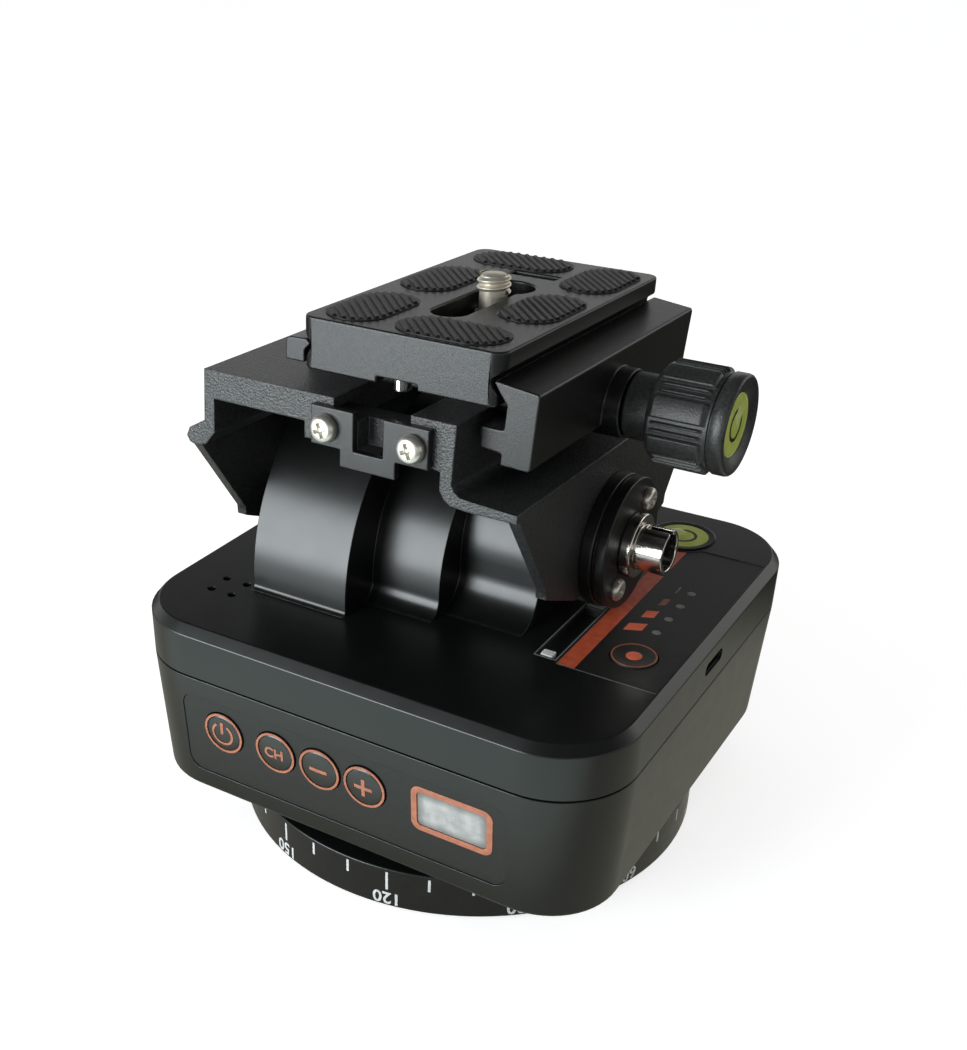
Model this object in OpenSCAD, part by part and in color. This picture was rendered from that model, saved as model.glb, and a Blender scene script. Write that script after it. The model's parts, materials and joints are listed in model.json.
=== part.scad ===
// Remote pan tilt head for a small camera.
// +Z is up, -Y is the face with the four buttons, +X is the side with the USB socket.
// The origin is the mouth of the tripod socket, on the pan axis, in the plane the head stands on.
// The head is drawn as it stands at rest: its cradle leans back by the angle rest_tilt.

/* [Dial base] */
// Diameter of the dial ring
dial_d = 97.2; // [96:0.2:100]
// Height of the dial ring's top above the ground
dial_top = 9.8; // [9:0.1:10.4]
// Height of the dial ring's lower edge above the ground
dial_low = 0.6; // [0.4:0.1:1]
// Wall of the dial ring
dial_wall = 2.6; // [2:0.1:4]
// Thickness of the dial ring's roof
dial_roof = 2.4; // [2:0.1:3]
// Thickness of the base cover plate
cover_t = 2.0; // [1.6:0.1:2.4]
// Inner diameter of the rubber ring under the base
pad_in_d = 56; // [50:1:62]
// Gap between the dial ring's wall and the rubber ring
pad_margin = 4; // [3:0.1:5]
// Depth at which the rubber ring sits in the cover plate
pad_sunk = 0.6; // [0.3:0.1:1]
// Outer diameter of the tripod bushing
bushing_d = 16; // [14:0.5:18]
// Minor diameter of the 3/8 inch tripod thread
socket_d = 7.94; // [7.9:0.02:8]
// Depth of the tripod socket
socket_depth = 7.4; // [6:0.1:7.5]
// Gap between the heads of the base screws and the rubber ring
base_screw_gap = 1.5; // [1:0.1:2]
// Diameter of the base screws' heads
base_screw_head_d = 5; // [4.6:0.1:5.6]
// Diameter of the base screws' shanks
base_screw_d = 2.6; // [2:0.1:3]

/* [Pan drive] */
// Outer diameter of the hollow pan axle
axle_d = 18; // [16:0.5:20]
// Bore of the pan axle, for wires
axle_bore = 9; // [6:0.5:10]
// Height of the pan axle's end above its ring gear
axle_over = 5.7; // [5:0.1:8]
// Outer diameter of the thrust washer
thrust_d = 64; // [50:1:70]
// Gear module of the pan gears
pan_module = 1; // [0.9:0.05:1.05]
// Teeth on the pan ring gear
pan_teeth = 44; // [42:1:46]
// Teeth on the pan pinion
pan_pinion_teeth = 12; // [12:1:13]
// Face width of the pan ring gear
pan_gear_t = 4; // [3:0.5:5]
// Direction of the pan motor from the pan axis, in degrees
pan_motor_dir = 270; // [265:1:275]
// Diameter of both gear motors
motor_d = 16; // [14:0.5:17]
// Gap between the pan motor and the roof
motor_gap = 1.3; // [1:0.1:4]
// Diameter of the motors' nose collars
motor_nose_d = 6; // [5:0.5:7]
// Length of the motors' nose collars
motor_nose_len = 2; // [2:0.5:3]
// Diameter of the motors' output shafts
motor_shaft_d = 3; // [2.5:0.1:4]

/* [Body] */
// Width of the body along X
body_w = 103; // [102:0.5:106]
// Depth of the body along Y
body_d = 100.5; // [100:0.5:104]
// Radius of the body's upright corners
corner_r = 16; // [14:0.5:18]
// Gap between the dial ring's top and the lower shell
shell_gap = 3.1; // [2.8:0.1:3.6]
// Height of the lower shell
lower_h = 26.9; // [26.5:0.1:27.3]
// Height of the visible gap at the seam
seam_gap = 0.3; // [0.2:0.1:0.5]
// Inward lean of the lower shell's wall, from the seam to the underside
draft = 1.46; // [1:0.02:2]
// Radius of the lower shell's bottom edge
low_edge_r = 1; // [0.6:0.1:1.4]
// Height of the upper shell, from the seam to the flat top face
upper_h = 11; // [10.6:0.1:11.4]
// Height of the bevel round the top face
bevel_h = 1.9; // [1.4:0.1:2.2]
// Width of the bevel round the top face
bevel_w = 1.65; // [1.2:0.05:2]
// Wall of both shells
wall = 2.2; // [2:0.1:2.5]
// Height of the lip that lines up the two shells
lip_h = 1.6; // [1.2:0.1:2]
// Diameter of the shell screws
shell_screw_d = 3; // [2.5:0.1:3.4]
// Distance from the walls to the screw posts' centres
post_in = 10; // [9.8:0.1:10.6]
// Gap between the battery and what is round it
battery_gap = 2; // [1.6:0.1:2.4]

/* [Drum cover] */
// Distance of the drum's centre behind the pan axis
drum_y = 6; // [5.6:0.1:6.4]
// Radius of the large arch
drum_big_r = 36.4; // [36:0.1:36.6]
// Radius of the middle arch
drum_mid_r = 26.7; // [26.2:0.1:27]
// Radius of the small arch
drum_small_r = 20.8; // [20.6:0.1:21.2]
// Left end of the large arch
drum_x0 = -33; // [-33.5:0.1:-32.5]
// Step from the large to the middle arch
drum_x1 = -11.3; // [-11.6:0.1:-11.1]
// Step from the middle to the small arch
drum_x2 = 3.7; // [3:0.1:4.4]
// Gap between the small arch's right end and the switch tray
drum_to_tray = 4.8; // [4.4:0.1:5.2]
// Foot fillet of the large arch
drum_big_fillet = 1; // [0.6:0.1:1.4]
// Foot fillet of the middle arch
drum_mid_fillet = 3.5; // [3:0.1:4]
// Foot fillet of the small arch
drum_small_fillet = 5; // [4:0.1:5.4]
// Thickness of the end walls that hold the bushes
drum_end_t = 4; // [3.5:0.1:4.4]

/* [Front panel] */
// Centre of the front panel along X
front_x = -1.15; // [-1.4:0.05:-0.9]
// Width of the front panel
front_w = 71.7; // [71:0.1:72.4]
// Height of the front panel's centre above the lower shell's underside
front_up = 13.65; // [13.4:0.05:13.8]
// Height of the front panel
front_h = 18.3; // [18:0.1:18.6]
// Corner radius of the front panel
front_r = 3; // [2:0.1:4]
// Thickness of the front and top panels
panel_t = 0.7; // [0.5:0.1:0.9]
// Depth of the panels' faces below the shell's surface
panel_drop = 0.3; // [0.2:0.1:0.4]
// Height of the row of buttons above the front panel's centre
button_up = 2.35; // [2.05:0.05:2.65]
// Diameter of the four front buttons
button_d = 9; // [8.4:0.1:9.2]
// Position of the power button along X
power_x = -27.4; // [-28:0.1:-27]
// Position of the channel button along X
channel_x = -15; // [-15.4:0.1:-14.8]
// Position of the minus button along X
minus_x = -4.8; // [-5:0.1:-4.6]
// Position of the plus button along X
plus_x = 5.25; // [5:0.05:5.5]
// Travel of the front buttons
button_travel = 0.6; // [0.4:0.1:0.8]
// Centre of the display window along X
window_x = 23.55; // [23:0.05:24]
// Height of the display window's centre above the front panel's centre
window_up = 2.05; // [1.75:0.05:2.35]
// Width of the display window
window_w = 14.4; // [14:0.1:15]
// Height of the display window
window_h = 7.8; // [7:0.1:8.4]

/* [Top panel] */
// Gap between the right wall and the top panel
top_edge = 2; // [1.8:0.1:2.3]
// Width of the top panel
top_w = 19.2; // [18.8:0.1:19.4]
// Distance from the front wall to the top panel
top_in = 25.75; // [25.25:0.05:26.25]
// Distance from the top panel's back edge to the spirit level's centre
top_back = 4.7; // [4.2:0.1:5.1]
// Distance from the top panel's right edge to the record button's centre
record_in_x = 8.3; // [7.9:0.1:8.7]
// Distance from the top panel's front edge to the record button's centre
record_in_y = 9.9; // [9.5:0.1:10.3]
// Diameter of the record button
record_d = 8.6; // [8:0.1:9]
// Travel of the record button
record_travel = 0.4; // [0.3:0.1:0.5]
// Distance from the top panel's right edge to the right ends of the light bars
bar_in = 10.8; // [10.4:0.1:11.2]
// Width of the first light bar
bar_w = 3.2; // [2.8:0.1:3.4]
// Length of the light bars
bar_l = 3; // [2.6:0.1:3.4]
// Distance from the top panel's right edge to the row of round lights
dot_in = 8.2; // [7.6:0.1:8.4]
// Diameter of the round lights
dot_d = 1.7; // [1.4:0.1:2]
// Distance from the record button's centre to the first light
light_start = 10.3; // [9.9:0.1:10.7]
// Pitch of the lights
light_pitch = 5.95; // [5.6:0.05:6]
// Number of lights in each row
light_n = 4; // [3:1:5]
// Distance from the back wall to the spirit level's centre
level_in = 13.45; // [13.05:0.05:13.75]
// Diameter of the spirit level
level_d = 13.6; // [13:0.1:13.8]
// Gap between the slide switch tray and the top panel
tray_gap = 0.4; // [0.3:0.1:0.6]
// Width of the slide switch tray
tray_w = 4.5; // [4.2:0.1:4.6]
// Distance from the top panel's front edge to the tray's
tray_start = 0.8; // [0.4:0.1:1.2]
// Travel of the slide switch
slider_travel = 15; // [12:0.5:18]
// Length of the closed end of the tray
tray_end = 3.6; // [3:0.1:4]
// Depth of the slide switch tray
tray_depth = 1.6; // [1.2:0.1:1.8]
// Width of the tray's rim
tray_rim = 0.5; // [0.4:0.1:0.7]
// Length of the tray that the slide switch leaves free at both ends
tray_spare = 4; // [3.6:0.1:4.4]
// Width of the slide switch's tab along X
slider_w = 2.4; // [2:0.1:2.8]
// Length of the slide switch's tab along Y
slider_l = 1.9; // [1.6:0.1:2.4]
// Width of the USB opening along Y
usb_w = 8.8; // [8.4:0.1:9.2]
// Height of the USB opening
usb_h = 2.6; // [2.4:0.1:3]
// Distance from the top panel's front edge to the USB opening's centre
usb_in = 25.1; // [24.7:0.1:25.5]
// Height of the USB opening's centre above the seam
usb_up = 5.2; // [5:0.1:5.4]
// Length of the USB receptacle
usb_l = 7; // [6:0.1:7.4]
// Diameter of the four vent holes
vent_d = 1.8; // [1.4:0.1:2]
// Pitch of the four vent holes
vent_pitch = 5; // [4.6:0.1:5.4]
// Distance from the left wall to the middle of the vent holes
vent_in_x = 14.1; // [13.6:0.1:14.6]
// Distance from the front wall to the middle of the vent holes
vent_in_y = 17.55; // [17:0.05:18]

/* [Tilt drive] */
// Distance of the tilt axis behind the pan axis
pivot_y = 1.5; // [1.3:0.1:1.7]
// Height of the tilt axis above the flat top face
pivot_up = 13.6; // [13.4:0.1:14]
// Angle at which the cradle leans back at rest, in degrees
rest_tilt = 2.5; // [0:0.5:3]
// Diameter of the hollow tilt shaft
shaft_d = 8.8; // [8.4:0.1:9]
// Bore of the tilt shaft
shaft_bore = 6.8; // [6:0.1:7]
// Right end of the tilt shaft
shaft_x1 = 40; // [39:0.5:41]
// Outer diameter of the shaft bushes
bush_d = 10.8; // [10.4:0.1:11]
// Gear module of the tilt gears
tilt_module = 0.8; // [0.75:0.05:0.8]
// Teeth on the tilt gear
tilt_teeth = 32; // [31:1:32]
// Teeth on the tilt pinion
tilt_pinion_teeth = 12; // [12:1:13]
// Left face of the tilt gear
tilt_gear_x = -24; // [-25:0.5:-23]
// Face width of the tilt gear
tilt_gear_t = 5; // [4:0.5:5.5]

/* [Cradle] */
// Front end of the cradle, before the tilt axis
cradle_y0 = -40.1; // [-41:0.1:-39]
// Back end of the cradle, behind the tilt axis
cradle_y1 = 43.5; // [43:0.1:44.5]
// Gap between the large arch and the cradle's deck
deck_gap = 3.1; // [2.9:0.1:3.6]
// Thickness of the cradle's left deck
deck_t = 5.2; // [5:0.1:5.4]
// Thickness of both cheeks
cheek_t = 2.1; // [1.8:0.1:2.4]
// Gap between the large arch's left end and the left cheek
cheek_gap_left = 5.8; // [5.5:0.1:6.3]
// Gap between the small arch's right end and the right cheek
cheek_gap_right = 4.7; // [4.5:0.1:4.9]
// Gap between the cheeks and the flat top face
cheek_clear = 0.7; // [0.6:0.1:1.2]
// Thickness of the front bracket
bracket_t = 1.5; // [1.2:0.1:2]
// Diameter of the bracket screws' heads
bracket_head_d = 5; // [4.6:0.1:5.4]
// Diameter of the bracket screws' shanks
bracket_screw_d = 2.5; // [2:0.1:3]
// Step from the cheeks' round end in to the pivot flanges
flange_step = 0.2; // [0.1:0.1:0.8]
// Depth of the groove round the right pivot flange
groove_in = 0.8; // [0.5:0.1:1]
// Radius of the circle of flange screws
flange_screw_pcr = 9.1; // [8.8:0.1:9.4]
// Direction of the upper flange screw, in degrees
flange_screw_dir = 53.5; // [45:0.5:60]
// Diameter of the flange screws' heads
flange_head_d = 4.4; // [4:0.1:4.8]
// Diameter of the collar on the tilt shaft
collar_d = 12.4; // [12:0.1:12.8]
// Width of the collar on the tilt shaft
collar_t = 2.2; // [1.8:0.1:2.4]

/* [Clamp] */
// Front end of both jaws
jaw_y0 = -34.4; // [-35:0.1:-34]
// Back end of both jaws
jaw_y1 = 31.8; // [31:0.1:32.4]
// Thickness of the clamp base
clamp_t = 2; // [1.8:0.1:2.2]
// Opening travel of the moving jaw
jaw_travel = 4; // [2:0.5:4]
// Depth of the clamp knob's axis below the cradle's top
knob_down = 4.1; // [3.9:0.1:4.3]
// Diameter of the clamp knob over its ribs
knob_d = 18.8; // [18:0.1:19.4]
// Depth of the knob's flutes
flute = 0.8; // [0.5:0.1:1]
// Number of ribs on the knob
knob_ribs = 8; // [6:1:10]
// Inner end of the clamp knob
knob_x0 = 35.1; // [34.8:0.1:35.4]
// Outer end of the clamp knob
knob_x1 = 49.8; // [49:0.1:50.4]
// Diameter of the knob's neck
neck_d = 12; // [11:0.1:12.6]
// Diameter of the clamp's stud
stud_d = 6; // [5.6:0.1:6.4]
// Diameter of the jaw's guide pins
guide_d = 3; // [2.6:0.1:3.2]

/* [Quick release plate] */
// Width of the plate
plate_w = 39.3; // [39:0.1:39.6]
// Length of the plate
plate_l = 65; // [64:0.5:66]
// Thickness of the plate
plate_t = 9.1; // [8.8:0.1:9.6]
// Centre of the plate along X
plate_x = 0.8; // [0.7:0.05:0.9]
// Centre of the plate along its slide, from the tilt axis
plate_y = -2.5; // [-3:0.1:-2]
// Corner radius of the plate
plate_r = 2.6; // [2:0.1:4]
// Width of the plate's slot
slot_w = 7; // [6.8:0.1:7.4]
// Front end of the plate's slot, from the plate's centre
slot_y0 = -18.5; // [-19:0.1:-18]
// Back end of the plate's slot, from the plate's centre
slot_y1 = 11.5; // [11:0.1:12]
// Diameter of the wide back end of the plate's slot
slot_mouth_d = 10.4; // [9:0.1:11]
// Depth of the counterbore under the plate's slot
slot_cbore = 4; // [3.5:0.1:4.5]
// Major diameter of the 1/4 inch camera screw
camera_screw_d = 6.35; // [6.3:0.01:6.4]
// Diameter of the camera screw's neck
screw_neck_d = 5.2; // [4.8:0.1:5.4]
// Length of the camera screw above the plate
camera_screw_l = 3.6; // [3:0.1:5]
// Place of the camera screw along the slot, from the plate's centre
camera_screw_y = 0.8; // [0:0.1:1.5]
// Height of the rubber pads above the plate
pad_proud = 0.5; // [0.3:0.1:0.8]

/* [Fits] */
// Radial gap of each running fit
running = 0.05; // [0.03:0.01:0.08]
// Gap round buttons and sliders
gap = 0.2; // [0.15:0.05:0.3]
// Gap between parts that slide past each other
slide_gap = 0.3; // [0.2:0.05:0.4]

/* [Hidden] */

$fn = 64;
fine = 0.02;
hull_fn = 32;
over = 1;

shell_low = dial_top + shell_gap;
seam_z = shell_low + lower_h;
top_z = seam_z + upper_h;
pivot_z = top_z + pivot_up;
cradle_top = top_z + drum_big_r + deck_gap + deck_t - pivot_z;

top_x1 = body_w / 2 - top_edge;
top_x0 = top_x1 - top_w;
top_y0 = -body_d / 2 + top_in;
level_x = top_x0;
level_y = body_d / 2 - level_in;
top_y1 = level_y - top_back;
record_x = top_x1 - record_in_x;
record_y = top_y0 + record_in_y;
bar_x = top_x1 - bar_in;
dot_x = top_x1 - dot_in;
light_y0 = record_y + light_start;
tray_x0 = top_x0 - tray_gap - tray_w;
tray_y0 = top_y0 + tray_start;
tray_y1 = tray_y0 + 2 * tray_rim + slider_l + slider_travel + tray_spare + tray_end - tray_rim;
drum_x3 = tray_x0 - drum_to_tray;
cheek_left_x = drum_x0 - cheek_gap_left - cheek_t;
cheek_right_x = drum_x3 + cheek_gap_right + cheek_t;
cheek_r = pivot_z - top_z - cheek_clear;
flange_r = cheek_r - flange_step;
knob_z = cradle_top - knob_down;
front_z = shell_low + front_up;
button_z = front_z + button_up;
window_z = front_z + window_up;
usb_y = top_y0 + usb_in;
usb_z = seam_z + usb_up;
vent_x = -body_w / 2 + vent_in_x;
vent_y = -body_d / 2 + vent_in_y;

pad_out_d = dial_d - 2 * dial_wall - 2 * pad_margin;
base_screw_pcr = pad_in_d / 2 - base_screw_gap - base_screw_head_d / 2;
cover_top = dial_low + cover_t;
floor_z = shell_low + wall;
ring_z0 = floor_z + 1.2;
ring_z1 = ring_z0 + pan_gear_t;
axle_top = ring_z1 + axle_over;
mesh_slack = 0.15;
pan_pitch_r = pan_module * pan_teeth / 2;
pan_pinion_r = pan_module * pan_pinion_teeth / 2;
pan_centres = pan_pitch_r + pan_pinion_r + mesh_slack;
tilt_pitch_r = tilt_module * tilt_teeth / 2;
tilt_pinion_r = tilt_module * tilt_pinion_teeth / 2;
tilt_centres = tilt_pitch_r + tilt_pinion_r + mesh_slack;
backlash = 0.3;
pressure = 20;
addendum = 0.8;
dedendum = 1.25;

draft_angle = atan(draft / (seam_z - shell_low));
inner_r = corner_r - wall;
roof_low = top_z - wall;
pan_bracket_z = ring_z1 + 1;
motor_len = roof_low - motor_gap - pan_bracket_z - motor_nose_len;
motor_shaft_in = 4;
stem_d = 3;
button_flange_t = 0.8;
board_t = 1.6;
button_board_in = wall + button_flange_t + gap + button_travel + 2.2;
board_x0 = power_x - stem_d / 2 - 1;
board_x1 = window_x + window_w / 2 + 1;
main_board_z = usb_z - usb_h / 2;

plate_low = cradle_top + clamp_t + gap;
plate_top = plate_low + plate_t;
jaw_mid_y = (jaw_y0 + jaw_y1) / 2;
post_d = 7;
post_places = [for (x = [-1, 1], y = [-1, 1]) [x * (body_w / 2 - post_in), y * (body_d / 2 - post_in)]];

// A rectangle with round corners
module rounded(w, d, r) {
  square([w - 2 * r, d], center = true);
  square([w, d - 2 * r], center = true);
  for (x = [-1, 1], y = [-1, 1])
    translate([x * (w / 2 - r), y * (d / 2 - r)]) circle(r);
}

// Four thin upright discs at the corners of the body, inset from its greatest outline
module corner_discs(z, inset, h = fine) {
  r = corner_r - inset;
  for (x = [-1, 1], y = [-1, 1])
    translate([x * (body_w / 2 - corner_r), y * (body_d / 2 - corner_r), z])
      cylinder(r = r, h = h, $fn = hull_fn);
}

function lean(z) = draft * (seam_z - z) / (seam_z - shell_low);
function front_y(z) = -body_d / 2 + lean(z);

// Places children on the leaning front wall, with Z out of the wall and Y up the wall
module on_front(x, z) {
  translate([x, front_y(z), z]) rotate([90 + draft_angle, 0, 0]) children();
}

// Places children in the cradle's own frame, which turns about the tilt axis
module on_cradle() {
  translate([0, pivot_y, pivot_z]) rotate([-rest_tilt, 0, 0]) children();
}

// Extrudes an outline drawn in X and Z from y0 to y1
module along_y(y0, y1) {
  translate([0, y1, 0]) rotate([90, 0, 0]) linear_extrude(y1 - y0) children();
}

// Extrudes an outline drawn in Y and Z from x0 to x1
module along_x(x0, x1) {
  translate([x0, 0, 0]) rotate([90, 0, 90]) linear_extrude(x1 - x0) children();
}

// A cylinder along X from x0 to x1
module rod_x(x0, x1, d) {
  translate([x0, 0, 0]) rotate([0, 90, 0]) cylinder(d = d, h = x1 - x0);
}

function involute(a) = tan(a) - a * PI / 180;

// Half the angle that a tooth fills at radius r
function tooth_half(r, n, m) =
  let (rp = m * n / 2, rb = rp * cos(pressure), at_pitch = 90 / n - backlash / 2 / rp * 90 / PI)
  at_pitch + (involute(pressure) - involute(acos(min(1, rb / max(r, rb))))) * 180 / PI;

// Outline of an involute spur gear with a tooth on the X axis
module gear_outline(n, m) {
  rp = m * n / 2;
  tip = rp + addendum * m;
  root = rp - dedendum * m;
  steps = [for (k = [0:3]) root + (tip - root) * [0, 0.4, 0.72, 1][k]];
  polygon([
    for (i = [0:n - 1], side = [-1, 1], k = [0:3])
      let (r = side < 0 ? steps[k] : steps[3 - k], a = 360 * i / n + side * tooth_half(r, n, m))
      [r * cos(a), r * sin(a)]
  ]);
}

// A pan head screw with its head's underside at z = 0 and a cross in its head
module screw(head_d, head_h, d, l) {
  difference() {
    union() {
      cylinder(d = head_d, h = head_h);
      translate([0, 0, -l]) cylinder(d = d, h = l + fine);
    }
    for (a = [0, 90]) rotate(a)
      translate([-head_d * 0.28, -head_d * 0.07, head_h * 0.4]) cube([head_d * 0.56, head_d * 0.14, head_h]);
  }
}

// A gear motor along +Z whose nose collar points down to z = 0
module gear_motor() {
  difference() {
    union() {
      cylinder(d = motor_nose_d, h = motor_nose_len + fine);
      translate([0, 0, motor_nose_len]) cylinder(d = motor_d, h = motor_len);
    }
    translate([0, 0, -over])
      cylinder(d = motor_shaft_d + 2 * running, h = motor_nose_len + over + motor_shaft_in + 2);
  }
}

module base_dial() {
  color("#141414") difference() {
    union() {
      difference() {
        translate([0, 0, dial_low]) cylinder(d = dial_d, h = dial_top - dial_low);
        translate([0, 0, -over]) cylinder(d = dial_d - 2 * dial_wall, h = dial_top - dial_roof + over);
      }
      for (k = [0:3]) rotate(45 + 90 * k) translate([base_screw_pcr, 0, cover_top])
        cylinder(d = base_screw_head_d + 2, h = dial_top - dial_roof / 2 - cover_top);
    }
    cylinder(d = axle_d, h = dial_top + over);
    for (k = [0:3]) rotate(45 + 90 * k) translate([base_screw_pcr, 0, 0])
      cylinder(d = base_screw_d, h = dial_top - dial_roof);
  }
}

module base_cover() {
  color("#1c1c1c") difference() {
    translate([0, 0, dial_low]) cylinder(d = dial_d - 2 * dial_wall - 2 * fine, h = cover_t);
    translate([0, 0, -over]) cylinder(d = bushing_d, h = cover_top + 2 * over);
    translate([0, 0, -over]) difference() {
      cylinder(d = pad_out_d, h = dial_low + pad_sunk + over);
      translate([0, 0, -over]) cylinder(d = pad_in_d, h = dial_low + pad_sunk + 3 * over);
    }
    for (k = [0:3]) rotate(45 + 90 * k) translate([base_screw_pcr, 0, -over]) {
      cylinder(d = base_screw_d, h = cover_top + 2 * over);
      cylinder(d = base_screw_head_d + 2 * fine, h = dial_low + cover_t / 2 + over);
    }
  }
}

module base_pad() {
  color("#262626") difference() {
    cylinder(d = pad_out_d, h = dial_low + pad_sunk);
    translate([0, 0, -over]) cylinder(d = pad_in_d, h = dial_low + pad_sunk + 2 * over);
  }
}

module tripod_bushing() {
  color("#b8b8ba") difference() {
    union() {
      cylinder(d = bushing_d, h = cover_top);
      translate([0, 0, cover_top]) cylinder(d = bushing_d + 4, h = dial_top - dial_roof - cover_top);
    }
    translate([0, 0, -over]) cylinder(d = socket_d, h = socket_depth + over);
  }
}

module base_screws() {
  color("#8e8e90") for (k = [0:3]) rotate(45 + 90 * k)
    translate([base_screw_pcr, 0, dial_low + cover_t / 2])
      mirror([0, 0, 1]) screw(base_screw_head_d, cover_t / 2, base_screw_d - 2 * fine, 4.5);
}

module pan_axle() {
  color("#a9a9ab") difference() {
    union() {
      translate([0, 0, dial_top - dial_roof]) cylinder(d = axle_d, h = axle_top - dial_top + dial_roof);
      translate([0, 0, dial_top]) cylinder(d = axle_d + 6, h = shell_low - dial_top - slide_gap);
    }
    translate([0, 0, -over]) cylinder(d = axle_bore, h = axle_top + 2 * over);
  }
}

module pan_ring_gear() {
  color("#d8d4c4") translate([0, 0, ring_z0]) difference() {
    rotate(pan_motor_dir) linear_extrude(pan_gear_t) gear_outline(pan_teeth, pan_module);
    translate([0, 0, -over]) cylinder(d = axle_d, h = pan_gear_t + 2 * over);
  }
}

module thrust_washer() {
  color("#1a1a1a") translate([0, 0, dial_top]) difference() {
    cylinder(d = thrust_d, h = shell_low - dial_top - slide_gap);
    translate([0, 0, -over]) cylinder(d = axle_d + 6, h = shell_low);
  }
}

// Posts that carry the pan motor's bracket, beside the gears
bracket_post_d = 5;
bracket_posts = [for (s = [-1, 1]) [pan_centres + 2, s * (motor_d / 2 + 6)]];

module lower_shell() {
  color("#1b1c1b") difference() {
    union() {
      difference() {
        hull() {
          corner_discs(shell_low, draft + low_edge_r);
          corner_discs(shell_low + low_edge_r * 0.3, draft + low_edge_r * 0.3);
          corner_discs(shell_low + low_edge_r, lean(shell_low + low_edge_r));
          corner_discs(seam_z - fine, 0);
        }
        hull() {
          corner_discs(floor_z, draft + wall);
          corner_discs(seam_z + over, wall);
        }
      }
      translate([0, 0, seam_z - 3]) lip_ring(wall / 2 + running, lip_h + 3);
      for (p = post_places) translate([p.x, p.y, shell_low + wall / 2])
        cylinder(d = post_d, h = seam_z - shell_low - wall / 2);
      rotate(pan_motor_dir) for (p = bracket_posts) translate([p.x, p.y, shell_low + wall / 2])
        cylinder(d = bracket_post_d, h = pan_bracket_z - shell_low - wall / 2);
      for (x = [-battery_w / 2 + rib_in, battery_w / 2 - rib_in - rib_t])
        translate([x, battery_y0, shell_low + wall / 2])
          cube([rib_t, battery_d, battery_z0 - shell_low - wall / 2]);
      for (x = [board_x0 + 2, board_x1 - 2 - rib_t])
        translate([x, front_y(seam_z) + wall + 0.6, shell_low + wall / 2])
          cube([rib_t, button_board_in - wall + board_t + 1.4, button_rib_h]);
    }
    cylinder(d = axle_d + 2 * running, h = 2 * floor_z, center = true);
    for (p = post_places) translate([p.x, p.y, 0]) {
      cylinder(d = shell_screw_d + 0.4, h = 2 * seam_z);
      cylinder(d = shell_screw_d + 3, h = floor_z + 3);
    }
    on_front(front_x, front_z) translate([0, 0, -panel_drop - panel_t])
      linear_extrude(wall) rounded(front_w + fine, front_h + fine, front_r);
    for (x = [power_x, channel_x, minus_x, plus_x]) on_front(x, button_z)
      translate([0, 0, -3 * wall]) cylinder(d = button_d + 2 * gap, h = 4 * wall);
    on_front(window_x, window_z) translate([0, 0, -3 * wall])
      linear_extrude(4 * wall) rounded(window_w, window_h, 1);
  }
}

// The register between the shells, as a ring inside the wall
module lip_ring(inset, h) {
  linear_extrude(h) difference() {
    rounded(body_w - 2 * inset, body_d - 2 * inset, corner_r - inset);
    rounded(body_w - 2 * wall, body_d - 2 * wall, inner_r);
  }
}

rib_t = 1.6;
rib_in = 8;
button_rib_h = 3.2;
battery_z0 = floor_z + battery_gap;
battery_y0 = pan_pitch_r + addendum * pan_module + battery_gap;
battery_d = body_d / 2 - wall - draft - battery_gap - battery_y0;
battery_w = body_w - 2 * (post_in + post_d / 2 + 2 * battery_gap);
battery_h = lower_h - 8;

module upper_shell() {
  color("#1b1c1b") difference() {
    union() {
      difference() {
        hull() {
          corner_discs(seam_z + seam_gap, 0);
          corner_discs(top_z - bevel_h - fine, 0);
          corner_discs(top_z - fine, bevel_w);
        }
        translate([0, 0, seam_z - over]) linear_extrude(roof_low - seam_z + over)
          rounded(body_w - 2 * wall, body_d - 2 * wall, inner_r);
      }
      for (p = post_places) translate([p.x, p.y, seam_z])
        cylinder(d = post_d, h = roof_low - seam_z + wall / 2);
      for (p = board_posts) translate([p.x, p.y, main_board_z])
        cylinder(d = 3, h = roof_low - main_board_z + wall / 2);
    }
    translate([0, 0, seam_z - over])
      linear_extrude(lip_h + over) rounded(body_w - wall, body_d - wall, corner_r - wall / 2);
    for (p = post_places) translate([p.x, p.y, 0]) cylinder(d = shell_screw_d, h = roof_low - 1);
    drum_opening();
    translate([0, 0, top_z - panel_drop / 3 - panel_t]) linear_extrude(wall) top_panel_outline(fine);
    translate([record_x, record_y, roof_low - over]) cylinder(d = record_d + 2 * gap, h = wall + 2 * over);
    lights_holes();
    translate([level_x, level_y, top_z - level_depth]) cylinder(d = level_d, h = wall);
    translate([tray_x0, tray_y0, roof_low - over]) cube([tray_w, tray_y1 - tray_y0, wall + 2 * over]);
    translate([vent_x, vent_y, roof_low - over]) for (x = [-0.5, 0.5], y = [-0.5, 0.5])
      translate([x * vent_pitch, y * vent_pitch, 0]) cylinder(d = vent_d, h = wall + 2 * over);
    translate([body_w / 2 - 2 * wall, usb_y, usb_z]) usb_outline(4 * wall, 0);
  }
}

level_depth = 1.5;
board_posts = [for (x = [top_x0 + 3.2, top_x1 - 3], y = [top_y0 + 4, top_y1 - 6]) [x, y]];

// The USB opening as a flat pill that runs along X
module usb_outline(l, grow) {
  w = usb_w + 2 * grow;
  h = usb_h + 2 * grow;
  along_x(0, l) rounded(w, h, h / 2 - fine);
}

// The roof's opening under the drum cover, which leaves a ledge for the drum's wall
module drum_opening() {
  translate([0, drum_y, roof_low - over]) for (a = drum_arches) {
    r = a[2] - wall - drum_ledge;
    x0 = a[0] == drum_x0 ? drum_x0 + drum_end_t : a[0] - wall - fine;
    x1 = a[1] == drum_x3 ? drum_x3 - drum_end_t : a[1] - wall;
    translate([x0, -r, 0]) cube([x1 - x0, 2 * r, wall + 2 * over]);
  }
}

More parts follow.
